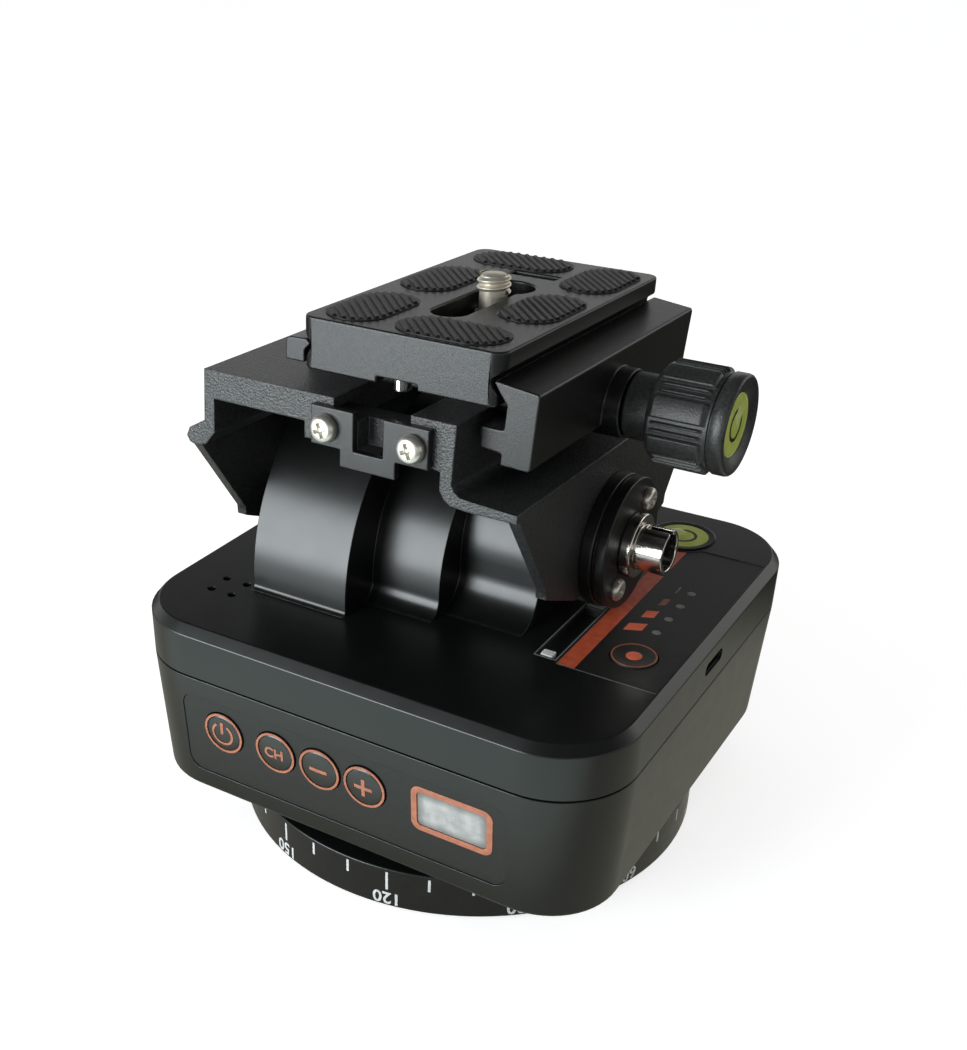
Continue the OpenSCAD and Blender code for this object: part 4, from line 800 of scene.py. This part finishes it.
def text_mesh(words, size, place, height, weight):
    """Letters or digits as a thin mesh, centred on the frame's origin."""
    curve = bpy.data.curves.new("text", "FONT")
    curve.body = words
    curve.size = size
    curve.align_x = "CENTER"
    curve.align_y = "CENTER"
    curve.extrude = height
    curve.offset = weight
    curve.resolution_u = 4
    holder = add_object("text", curve)
    mesh = evaluated_mesh(holder)
    bpy.data.objects.remove(holder)
    mesh.transform(Matrix.Scale(MM, 4))
    mesh.transform(scaled(place))
    return add_object("text", mesh)


def bar(name, w, h, place, r=0.2, height=PRINT_T, material=None):
    return prism(name, corner_points(w, h, r, 4), -height, height, place=place, material=material)


def arc_band(r_out, r_in, start, stop, steps=28):
    """Outline of a band along an arc, between two angles in degrees."""
    angles = spread(radians(start), radians(stop), steps)
    ends = ((r_out, angles), (r_in, angles[::-1]))
    return [(r * cos(a), r * sin(a)) for r, around in ends for a in around]


def build_front_panel():
    dress("front_panel", 0.08)
    x, z, w, h = WINDOW
    band = 1.15
    outer = corner_points(w + 2 * band, h + 2 * band, 1.9, 8)
    inner = corner_points(w - 0.1, h - 0.1, 0.95, 8)
    frame_band = ring_mesh("window_band", outer, inner, 0.12, on_front(x, z, -PANEL_DROP), PRINT_ORANGE)
    soften(frame_band, 0.06)
    hand_over(frame_band, body="turret")
    dress("display_window", 0.15).name = "display_pane"


def drape(sign, place, dome_r, dome_h):
    """Lets a flat sign sink onto the dome below it; place is the dome's top."""
    with editing(sign) as divide:
        bmesh.ops.triangulate(divide, faces=divide.faces)
        long_edges = [e for e in divide.edges if e.calc_length() > 0.6 * MM]
        bmesh.ops.subdivide_edges(divide, edges=long_edges, cuts=3)
    there = scaled(place)
    back = there.inverted()
    for v in sign.data.vertices:
        p = back @ v.co
        share = min(0.98, hypot(p.x, p.y) / MM / dome_r)
        p.z -= dome_h * (1 - sqrt(1 - share * share)) * MM
        v.co = there @ p


def build_front_button(name, x):
    """A glossy domed cap with a copper ring round it and its sign on the dome."""
    node = name + "_button"
    r = BUTTON_R
    back = -WALL - 0.2
    foot = 0.3 - PANEL_DROP
    dome_low = foot - 0.1
    dome_r = r - 0.55
    dome_h = 0.42
    place = on_front(x, BUTTON_Z)
    profile = [(AXIS, back), (r, back), (r, foot - 0.12), (r - 0.08, foot), (dome_r, foot), (dome_r, dome_low)]
    for a in spread(0, QUARTER, 10)[:-1]:
        profile.append(((dome_r - 0.04) * cos(a), dome_low + dome_h * sin(a)))
    profile.append((AXIS, dome_low + dome_h))
    cap = lathe(node + "_cap", profile, 72, place)
    soften(cap, sharp=50)
    flange = rod("flange", r + 0.4, back - 0.8, back, 48, place)
    stem = rod("stem", 1.5, -4.2, back - 0.8, 24, place)
    stand_for(node, join([cap, flange, stem], node + "_body"), CAP_BLACK)
    ring = ring_mesh(node + "_ring", disc_points(r - 0.03, 72), disc_points(r - 0.5, 72), SIGN_T,
                     on_front(x, BUTTON_Z, foot), PRINT_ORANGE)
    sign_at = on_front(x, BUTTON_Z, dome_low + dome_h)
    if name == "power":
        signs = [
            prism("sign", arc_band(2.55, 2.05, 122, 418), -SIGN_T, SIGN_T, place=sign_at),
            bar("sign", 0.66, 2.6, sign_at @ at(0, 1.35), 0.1, SIGN_T),
        ]
    elif name == "channel":
        signs = [text_mesh("CH", 3.1, sign_at, SIGN_T, 0.09)]
    else:
        signs = [bar("sign", 3.9, STROKE, sign_at, 0.12, SIGN_T)]
        if name == "plus":
            signs.append(bar("sign", STROKE, 3.9, sign_at, 0.12, SIGN_T + 0.001))
    for sign in signs:
        drape(sign, sign_at, dome_r, dome_h)
    hand_over(join([ring] + signs, node + "_marks"), body=name)


STRIPE_W = 3.5


def build_top_panel():
    dress("top_panel", 0.06)
    x0, x1, y0 = PANEL_LOW.x, PANEL_HIGH.x, PANEL_LOW.y
    r = LEVEL_CLEAR
    start = atan2(-sqrt(r * r - STRIPE_W ** 2), STRIPE_W)
    outline = [(x0 + 0.08, y0 + 0.35), (x0 + STRIPE_W, y0 + 0.35)]
    for a in spread(start, atan2(-r, 0), 8):
        outline.append((LEVEL[0] + r * cos(a) + 0.04, LEVEL[1] + (r + 0.1) * sin(a)))
    stripe = prism("top_stripe", outline, -0.02, PRINT_T, place=at(0, 0, TOP_FACE), material=STRIPE_ORANGE)
    hand_over(stripe, body="turret")
    middle = at((x0 + x1) / 2, y0 + 0.12, TOP_FACE)
    edge = bar("top_panel_edge", x1 - x0, 0.22, middle, 0.1, material=PRINT_GREY)
    hand_over(edge, body="turret")


def build_record_button():
    r = RECORD_R
    top = TOP_Z + 0.15
    back = TOP_Z - WALL
    place = at(*RECORD)
    profile = [(r - 1, back), (r, back), (r, top - 0.25), (r - 0.08, top - 0.08), (r - 0.25, top)]
    profile += [(r - 0.75, top), (r - 0.95, top - 0.05), (2.0, top - 0.16), (AXIS, top - 0.18)]
    cap = lathe("record_cap", profile, 72, place)
    soften(cap, sharp=50)
    flange = rod("flange", r + 0.8, back - 1.2, back - 0.2, 48, place)
    stem = rod("stem", 1.5, 44.4, back - 1.2, 24, place)
    stand_for("record_button", join([cap, flange, stem], "record_button_body"))
    place = at(*RECORD, top)
    ring = ring_mesh("record_ring", disc_points(r - 0.1, 72), disc_points(r - 0.4, 72), PRINT_T, place,
                     PRINT_DIM_ORANGE)
    hand_over(ring, body="record")
    profile = [(AXIS, -0.25), (1.5, -0.25), (1.5, -0.12), (1.38, -0.05), (0.7, -0.02), (AXIS, -0.01)]
    dot = lathe("record_dot", profile, 48, place, MATERIALS["light_orange"])
    soften(dot, sharp=50)
    hand_over(dot, body="record")


def build_lights():
    bars = dress("battery_lights", 0.08)
    bars.data.materials.append(DIM_TAN)
    dim_from = (LIGHT_Y0 + 1.5 * LIGHT_PITCH) * MM
    for face in bars.data.polygons:
        face.material_index = int(face.center.y > dim_from)
    dress("channel_lights", 0.06)


def build_tray():
    dress("switch_tray", 0.06).name = "tray_body"
    rim = 0.22
    (x0, y0), (x1, y1) = TRAY_LOW.xy, TRAY_HIGH.xy
    x, w, l = (x0 + x1) / 2, x1 - x0, y1 - y0
    outer = corner_points(w, l, 0.12, 2)
    inner = corner_points(w - 2 * rim, l - 2 * rim, 0.1, 2)
    line = ring_mesh("tray_outline", outer, inner, 0.02, at(x, (y0 + y1) / 2, TOP_Z), PRINT_GREY)
    end = bar("tray_end_piece", w - 1.0, 2.6, at(x, y1 - 1.8, TOP_Z), material=PRINT_GREY)
    for piece in (line, end):
        hand_over(piece, body="turret")


def build_slider():
    """The white tab with a rounded top and two grip notches."""
    low, high = cad_box("slide_switch")
    w, l = high.x - low.x, high.y - low.y
    centre = at((low.x + high.x) / 2, (low.y + high.y) / 2)
    tab = prism("slide_tab", corner_points(w, l, 0.25, 4), low.z, high.z, 0.12, 3, centre)
    boolean(tab, [bar("notch", w + 1, 0.28, centre @ at(0, dy, high.z), 0.1, 0.16) for dy in (-0.4, 0.4)])
    soften(tab, sharp=50)
    stand_for("slide_switch", tab)


# Dial


LONG_TICK = 4.3
SHORT_TICK = 2.9
TICK_W = 0.52
TICK_TOP = DIAL_HIGH.z - 0.8
ZERO_ANGLE = 40.7
DIGIT_H = 3.0
# Size of a font whose digits are 1 high
FONT_SIZE = 1.32


def wrap_on_dial(obj, angle, z):
    """Bends a flat mesh, in X and Y with its face along Z, round the dial's wall, upside down."""
    for v in obj.data.vertices:
        x, y, out = v.co / MM
        a = radians(angle) - x / DIAL_R
        r = DIAL_R + out
        v.co = Vector((r * cos(a), r * sin(a), z - y)) * MM


def build_dial():
    dress("base_dial", 0.35, 3).name = "dial_ring"
    marks = []
    for label in range(0, 360, 10):
        long = label % 30 == 0
        h = LONG_TICK if long else SHORT_TICK
        marks.append(prism("tick", corner_points(TICK_W, h, 0.08, 2), -PRINT_T, PRINT_T))
        wrap_on_dial(marks[-1], ZERO_ANGLE - label, TICK_TOP - h / 2)
        if long:
            marks.append(text_mesh(str(label), DIGIT_H * FONT_SIZE, Matrix.Identity(4), PRINT_T, 0.07))
            wrap_on_dial(marks[-1], ZERO_ANGLE - label, TICK_TOP - LONG_TICK - 0.5 - DIGIT_H / 2)
    joined = join(marks, "dial_marks")
    paint(joined, PRINT_WHITE)
    hand_over(joined, body="base")


# Spirit levels


LEVEL_SINK = 0.12


def build_level(name, place, r, t, node, bezel):
    """A clear capsule seen from above: a black bezel, green liquid, a dark ring and a bubble beside it, whose
    lighter green is partly a painted highlight.
    """
    profile = [(AXIS, -t), (r, -t), (r, -0.05), (r - 0.1, 0.02), (r - 0.25, 0.04), (r - bezel, 0)]
    profile += [(r - bezel - 0.05, -LEVEL_SINK), (AXIS, -LEVEL_SINK)]
    body = lathe(name + "_case", profile, 72, place)
    soften(body, sharp=50)
    stand_for(node, body, BEZEL_BLACK if bezel > 0.5 else None)
    green_r = r - bezel - 0.08
    flat = place @ at(0, 0, -LEVEL_SINK)
    profile = [(AXIS, -0.02), (green_r, -0.02), (green_r, 0.02), (green_r * 0.8, 0.045), (AXIS, 0.06)]
    liquid = lathe(name + "_liquid", profile, 64, flat, MATERIALS["level_green"])
    soften(liquid, sharp=50)
    outer, inner = disc_points(green_r * 0.56, 64), disc_points(green_r * 0.44, 64)
    ring = ring_mesh(name + "_ring", outer, inner, 0.05, flat @ at(0, 0, 0.03), DARK_INK)
    # The bubble's lighter green is partly a painted highlight
    spot = flat @ at(-green_r * 0.3, green_r * 0.2, 0.03)
    profile = [(green_r * 0.34, 0), (green_r * 0.3, 0.05), (green_r * 0.2, 0.07), (AXIS, 0.08)]
    bubble = lathe(name + "_bubble", profile, 40, spot, BUBBLE_AND_HIGHLIGHT)
    soften(bubble, sharp=60)
    for piece in (liquid, ring, bubble):
        hand_over(piece, body=body_of_node(node))


# Fasteners


SHANK_R = 1.23
CROSS_TURN = 0.35


def pan_screw(head_r, head_h, place, length):
    """A pan head with a crossed recess; Z points out of the head."""
    profile = [(SHANK_R, -length), (SHANK_R, 0), (head_r * 0.97, 0)]
    profile += [(head_r, head_h * 0.12), (head_r, head_h * 0.35)]
    for a in spread(0, QUARTER, 6)[1:-1]:
        profile.append((head_r * (0.58 + 0.42 * cos(a)), head_h * (0.35 + 0.65 * sin(a))))
    profile += [(head_r * 0.5, head_h), (AXIS, head_h)]
    head = lathe("screw", profile, 40)
    w, l = head_r * 0.16, head_r * 0.58
    cross = []
    for turn in (CROSS_TURN, CROSS_TURN + QUARTER):
        bm = bmesh.new()
        ends = ((head_h * 0.5, 0.55), (head_h * 1.2, 1.12))
        stitch(bm, [[(x, y, z) for x, y in rectangle(-l * s, -w * s, l * s, w * s)] for z, s in ends])
        cross.append(from_bmesh("blade", bm, place=Matrix.Rotation(turn, 4, "Z")))
    boolean(head, cross)
    soften(head, sharp=38)
    head.data.transform(scaled(place))
    return head


def build_bracket_screws():
    turn = Matrix.Rotation(QUARTER, 4, "X")
    heads = [pan_screw(2.5, 1.8, CRADLE @ at(x, -41.6, 26.1) @ turn, 7) for x in (-9, 8.2)]
    stand_for("bracket_screws", join(heads, "bracket_pan_screws"), SCREW_STEEL)


FLANGE_SCREW_R = 9.1
FLANGE_SCREW_ANGLE = radians(53.5)


def build_flange_screws():
    ends = ((cad_box("right_flange")[1].x, QUARTER), (cad_box("left_flange")[0].x, -QUARTER))
    heads = []
    for s in (-FLANGE_SCREW_R, FLANGE_SCREW_R):
        y, z = s * cos(FLANGE_SCREW_ANGLE), s * sin(FLANGE_SCREW_ANGLE)
        for x, turn in ends:
            heads.append(pan_screw(2.2, 1.4, CRADLE @ at(x, y, z) @ Matrix.Rotation(turn, 4, "Y"), 4))
    stand_for("flange_screws", join(heads, "flange_pan_screws"), SCREW_STEEL)


# Knob


KNOB_X0 = 35.1
KNOB_X1 = 49.8
KNOB_R = 9.4
KNOB_RIBS = 8
# The stretch of the grip that carries relief
GRIP_X0 = 36
GRIP_X1 = 46.7
KNOB_LEVEL_R = 5.7
KNOB_AXIS = at(0, -1.3, 27) @ Matrix.Rotation(QUARTER, 4, "Y")


def smooth_step(value, low, high):
    t = min(1, max(0, (value - low) / (high - low)))
    return t * t * (3 - 2 * t)


def hump(value, rise, fall):
    """Goes from 0 to 1 over the range rise, and back to 0 over the range fall."""
    return smooth_step(value, *rise) * (1 - smooth_step(value, *fall))


def rib_height(turn, x):
    """Height of the knob's relief: broad pads, and two thin ridges in each gap between them."""
    place = abs((turn * KNOB_RIBS) % 1 - 0.5)
    pad = 1 - smooth_step(place, 0.245, 0.285)
    ridge = hump(place, (0.365, 0.39), (0.425, 0.45))
    pad_along = hump(x, (KNOB_X0 + 0.9, KNOB_X0 + 1.5), (KNOB_X1 - 4.3, KNOB_X1 - 3.7))
    ridge_along = hump(x, (KNOB_X0 + 1.4, KNOB_X0 + 2.2), (KNOB_X1 - 4.6, KNOB_X1 - 4.0))
    return 0.75 * pad * pad_along + 0.6 * ridge * ridge_along


def build_knob():
    base_r = KNOB_R - 0.75
    face_x = KNOB_X1 - 0.9
    profile = [(35.1, 5.9), (35.12, 7.4), (35.3, 8.0), (35.8, base_r - 0.12), (GRIP_X0, base_r)]
    profile += [(GRIP_X0 + 0.265 * k, base_r) for k in range(1, 40)]
    profile += [(46.6, base_r), (GRIP_X1, base_r - 0.25), (46.9, base_r - 0.25), (47.0, base_r + 0.1)]
    profile += [(47.15, base_r + 0.28), (49.0, base_r + 0.28), (49.45, base_r + 0.16), (49.7, base_r - 0.08)]
    profile += [(KNOB_X1, base_r - 0.4), (49.72, base_r - 0.62), (face_x + 0.1, KNOB_LEVEL_R + 0.2)]
    profile += [(face_x - 0.1, KNOB_LEVEL_R + 0.04), (47.8, KNOB_LEVEL_R + 0.02)]
    steps = 480
    bm = bmesh.new()
    rings = []
    for x, r in profile:
        ring = []
        for i, (c, s) in enumerate(disc_points(1, steps)):
            grown = r + (rib_height(i / steps, x) if GRIP_X0 < x < GRIP_X1 else 0)
            ring.append((grown * c, grown * s, x))
        rings.append(ring)
    stitch(bm, rings)
    knob = from_bmesh("knob_grip", bm, KNOB_BLACK, CRADLE @ KNOB_AXIS)
    soften(knob, sharp=60)
    profile = [(3.1, 30.1), (5.7, 30.1), (5.95, 30.35), (6.0, 30.6), (6.0, 35.3), (3.1, 35.3)]
    neck = lathe("neck", profile, 72, CRADLE @ KNOB_AXIS)
    soften(neck, sharp=60)
    stand_for("clamp_knob", join([knob, neck], "clamp_knob_grip"), KNOB_BLACK)
    level_at = CRADLE @ KNOB_AXIS @ at(0, 0, face_x)
    build_level("knob", level_at, KNOB_LEVEL_R - 0.02, 1.1, "knob_level", 0.3)


# Camera screw


PLATE_TOP = 42.4
PLATE_PLACE = CRADLE @ at(0.8, -2.5)
SCREW_Y = 0.8
SCREW_RISE = 3.6
SCREW_R = 3.175
CORE_R = 2.55
THREAD_PITCH = 1.27


def build_camera_screw():
    """A 1/4 inch screw end with a real helical thread over its rounded core."""
    top = PLATE_TOP + SCREW_RISE
    low = PLATE_TOP + 0.3
    steps = 48
    rows = 10
    bm = bmesh.new()
    previous = None
    for i in range(int((top - low) / THREAD_PITCH * steps) + 1):
        a = TAU * i / steps
        z0 = low + THREAD_PITCH * (i / steps - 0.5)
        row = []
        for f in spread(0, 1, rows):
            shape = sin(pi * f) ** 1.2
            z = max(PLATE_TOP + 0.02, min(top - 0.02, z0 + THREAD_PITCH * f))
            fade = 1 - smooth_step(z, top - 0.9, top - 0.1)
            r = CORE_R + (SCREW_R - CORE_R) * shape * (0.35 + 0.65 * fade)
            row.append(bm.verts.new((r * cos(a), r * sin(a), z)))
        if previous:
            for k in range(rows):
                bm.faces.new((previous[k], row[k], row[k + 1], previous[k + 1]))
        previous = row
    bmesh.ops.remove_doubles(bm, verts=bm.verts, dist=1e-4)
    place = PLATE_PLACE @ at(0, SCREW_Y)
    thread = from_bmesh("thread", bm, place=place)
    smooth(thread)
    skin = CORE_R + 0.02
    profile = [(AXIS, 33.5), (5.7, 33.5), (5.7, 35.6), (2.6, 35.6), (2.6, PLATE_TOP), (skin, PLATE_TOP)]
    profile += [(skin, top - 0.55), (CORE_R - 0.1, top - 0.25), (CORE_R - 0.5, top - 0.06), (AXIS, top)]
    core = lathe("core", profile, 48, place)
    soften(core, sharp=45)
    stand_for("camera_screw", join([core, thread], "camera_screw_thread"), WARM_NICKEL)


# Rubber pads


# Middle, width and height of the pads on the front half of the plate; the others are turned from them
PADS = [(-12.3, -20.6, 11.4, 20.4), (-12.5, 4.2, 11.4, 20.4), (6.6, -25.6, 20.6, 11.6)]
PAD_PROUD = 0.5
RIDGE_PITCH = 1.4
RIDGE_ANGLE = radians(-48)


def stadium(w, h, steps=16):
    """Outline of a pad with half-round ends."""
    r = min(w, h) / 2
    reach = max(w, h) / 2 - r
    points = []
    for end in (0, 1):
        for a in spread(-QUARTER + pi * end, QUARTER + pi * end, steps):
            points.append((r * cos(a) + reach * (1 - 2 * end), r * sin(a)))
    return points if w > h else [(-y, x) for x, y in points]


def chord(w, h, point, direction):
    """Where a line crosses a stadium: the distances along it, or None."""
    r = min(w, h) / 2
    reach = max(w, h) / 2 - r
    inside = []
    for t in spread(-(w + h) / 2, (w + h) / 2, 400):
        p = point + direction * t
        u, v = (p.x, p.y) if w > h else (p.y, p.x)
        if hypot(max(0, abs(u) - reach), v) < r:
            inside.append(t)
    return (inside[0], inside[-1]) if inside else None


def pad_ridges(bm, w, h, low, high):
    direction = Vector((cos(RIDGE_ANGLE), sin(RIDGE_ANGLE)))
    across = Vector((-direction.y, direction.x))
    half = RIDGE_PITCH * 0.34
    section = [(-half, low), (-half * 0.55, high), (half * 0.55, high), (half, low)]
    n = int((w + h) / 2 / RIDGE_PITCH) + 1
    for k in range(-n, n + 1):
        middle = across * (k + 0.5) * RIDGE_PITCH
        ends = chord(w - 0.7, h - 0.7, middle, direction)
        if ends is None or ends[1] - ends[0] < 0.8:
            continue
        rings = []
        for t, flat in ((ends[0], True), (ends[0] + 0.25, False), (ends[1] - 0.25, False), (ends[1], True)):
            points = [(middle + direction * t + across * s, z) for s, z in section]
            rings.append([(p.x, p.y, low if flat else z) for p, z in points])
        stitch(bm, rings)


def build_pads():
    pieces = []
    for turn in (0, pi):
        for x, y, w, h in PADS:
            place = PLATE_PLACE @ Matrix.Rotation(turn, 4, "Z") @ at(x, y)
            pieces.append(prism("pad", stadium(w, h), PLATE_TOP - 0.4, PLATE_TOP + 0.18, 0.08, 2, place))
            bm = bmesh.new()
            pad_ridges(bm, w, h, PLATE_TOP + 0.1, PLATE_TOP + PAD_PROUD)
            pieces.append(from_bmesh("ridges", bm, place=place))
    pads = join(pieces, "ribbed_pads")
    soften(pads, sharp=30)
    stand_for("grip_pads", pads)


# Assembly of the looks


# CAD nodes that only get rounded edges: the radius and the steps
DRESSED = {
    "cradle": (0.35, 3), "right_flange": (0.3, 3), "left_flange": (0.3, 3), "tilt_shaft": (0.3, 3),
    "shaft_collar": (0.35, 3), "clamp_base": (0.25, 3), "moving_jaw": (0.3, 3), "release_plate": (0.35, 3),
    "stop_screws": (0.2, 2), "base_cover": (0.15, 2), "base_pad": (0.25, 3), "tripod_bushing": (0.2, 2),
    "thrust_washer": (0.1, 2),
}


def build_all():
    for node, obj in frame["nodes"].items():
        paint(obj, MATERIALS[SLOT_OF_NODE[node]])
    build_drum()
    for node, (edge, steps) in DRESSED.items():
        dress(node, edge, steps, clamp=node == "cradle")
    # The port is painted dark, as painted shade inside its opening
    dress("usb_port", 0.08, material=PORT_IN_PAINTED_SHADE)
    dress("front_bracket", 0.15, material=MATERIALS["anodised_black"])
    build_lower_shell()
    build_upper_shell()
    build_front_panel()
    for name, x in BUTTONS.items():
        build_front_button(name, x)
    build_top_panel()
    build_record_button()
    build_lights()
    build_tray()
    build_slider()
    build_dial()
    build_level("top", at(*LEVEL, TOP_Z + 0.2), LEVEL_R - 0.02, 1.65, "level_vial", 1.35)
    build_bracket_screws()
    build_flange_screws()
    build_knob()
    build_camera_screw()
    build_pads()


# Camera, floor and light


def build_camera():
    """The camera that took the photograph, fitted to the body's edges in its 967 by 1050 frame."""
    width, height = 967, 1050
    focal = 1349.3
    principal = (373.2, 666.9)
    azimuth, elevation, roll = (radians(angle) for angle in (32.7, 31.66, -0.22))
    data = bpy.data.cameras.new("camera")
    data.sensor_fit = "VERTICAL"
    data.sensor_height = 36
    data.lens = focal * data.sensor_height / height
    data.shift_x = (width / 2 - principal[0]) / height
    data.shift_y = (principal[1] - height / 2) / height
    data.clip_start = 0.01
    data.clip_end = 30
    camera = add_object("camera", data)
    turn = Matrix.Rotation(azimuth, 4, "Z") @ Matrix.Rotation(QUARTER - elevation, 4, "X")
    turn = turn @ Matrix.Rotation(roll, 4, "Z")
    camera.matrix_world = Matrix.Translation(Vector((114.6, -216.7, 178.0)) * MM) @ turn
    SCENE.camera = camera


FLOOR_R = 6000
FLOOR_GLOW = 0.7
# A glow on the floor that only gloss sees, a painted reflection, by place in metres: brighter in front, dim
# far away
GLOSS_GLOW_NEAR = (1.15, 0.38)
GLOSS_GLOW_FAR = 0.14
GLOSS_GLOW_MIDDLE = (0, -0.03, 0)
GLOSS_GLOW_EDGE = (-0.088, -0.062)
GLOSS_GLOW_END = (0.13, 0.17)
WORLD_LIGHT = 0.34
ZENITH = 0.04


def choose(tree, factor, first, second, output):
    """Shows one shader or the other."""
    mixed = add_node(tree, "MixShader", "Shader", {"Fac": factor, 1: first, 2: second})
    tree.links.new(mixed, tree.nodes[output].inputs["Surface"])


def build_floor():
    bm = bmesh.new()
    bmesh.ops.create_circle(bm, cap_ends=True, radius=FLOOR_R, segments=96)
    mat, tree, shader, coords = new_material("pale floor")
    seen = any_ray(tree, "Is Camera Ray", "Is Transmission Ray")
    fill(tree, shader, {
        "Base Color": mix_colours(tree, patches(tree, coords, 300), (0.84, 0.84, 0.83), (0.87, 0.87, 0.86)),
        "Roughness": 0.9,
        "Specular IOR Level": 0.1,
        "Emission Color": (1, 1, 1, 1),
        "Emission Strength": maths(tree, "MULTIPLY", seen, FLOOR_GLOW),
    })
    # Painted reflection: a glow on the floor that only glossy rays see, brighter and tinted in front of the
    # object
    y = part_of(tree, coords, "Y")
    away = add_node(tree, "VectorMath", "Value", {0: coords, 1: GLOSS_GLOW_MIDDLE}, operation="DISTANCE")
    far = remap(tree, away, 1, GLOSS_GLOW_FAR, *GLOSS_GLOW_END)
    near = remap(tree, y, *GLOSS_GLOW_NEAR, *GLOSS_GLOW_EDGE)
    gloss_only_glow = add_node(tree, "Emission", "Emission", {
        "Strength": maths(tree, "MULTIPLY", far, near),
        "Color": mix_colours(tree, remap(tree, y, 0, 1, *GLOSS_GLOW_EDGE), (0.84, 1, 0.96), (1, 0.99, 0.84)),
    })
    choose(tree, any_ray(tree, "Is Glossy Ray"), shader.outputs["BSDF"], gloss_only_glow, "Material Output")
    from_bmesh("floor", bm, mat)


def build_world():
    """White for the camera, dimmer overhead for gloss and glass, and a plain level of light."""
    world = bpy.data.worlds.new("studio")
    world.use_nodes = True
    tree = world.node_tree
    ground = tree.nodes["Background"]
    fill(tree, ground, {"Strength": WORLD_LIGHT, "Color": (0.98, 0.99, 1, 1)})
    direction = add_node(tree, "TexCoord", "Generated", {})
    fall = remap(tree, part_of(tree, direction, "Z"), 1, ZENITH, 0.1, 0.47)
    white = maths(tree, "MAXIMUM", fall, any_ray(tree, "Is Camera Ray"))
    seen = add_node(tree, "Background", "Background", {"Strength": white, "Color": (1, 1, 1, 1)})
    rays = any_ray(tree, "Is Camera Ray", "Is Glossy Ray", "Is Transmission Ray")
    choose(tree, rays, ground.outputs["Background"], seen, "World Output")
    SCENE.world = world


def add_lamp(name, towards, distance, size, radiance, colour=(1, 1, 1), target=(0, 0, 0.05)):
    """A soft rectangular lamp that shines at the object from a direction. Its places are in metres."""
    data = bpy.data.lights.new(name, "AREA")
    data.shape = "RECTANGLE"
    data.size, data.size_y = size
    data.energy = radiance * pi * size[0] * size[1]
    data.color = colour
    lamp = add_object(name, data)
    lamp.visible_camera = False
    back = Vector(towards).normalized() * distance
    turn = back.to_track_quat("Z", "Y").to_matrix().to_4x4()
    lamp.matrix_world = Matrix.Translation(Vector(target) + back) @ turn
    return lamp


def build_lamps():
    """A wide key from the front left, its low glossy edge just above the floor, and a warm side light."""
    low = add_lamp("low", (-0.46, -0.88, -0.12), 0.27, (0.18, 0.042), 7.8, (0.9, 0.97, 1), (0, -0.03, 0.065))
    low.visible_diffuse = False
    add_lamp("key", (-0.47, -0.85, 0.2), 0.9, (0.58, 0.5), 7.8, (0.9, 0.97, 1))
    add_lamp("side", (0.58, 0.72, 0.4), 0.9, (0.35, 0.3), 1.4, (1, 0.97, 0.88))


build_all()
build_camera()
build_floor()
build_world()
build_lamps()
SCENE.view_settings.view_transform = "Standard"
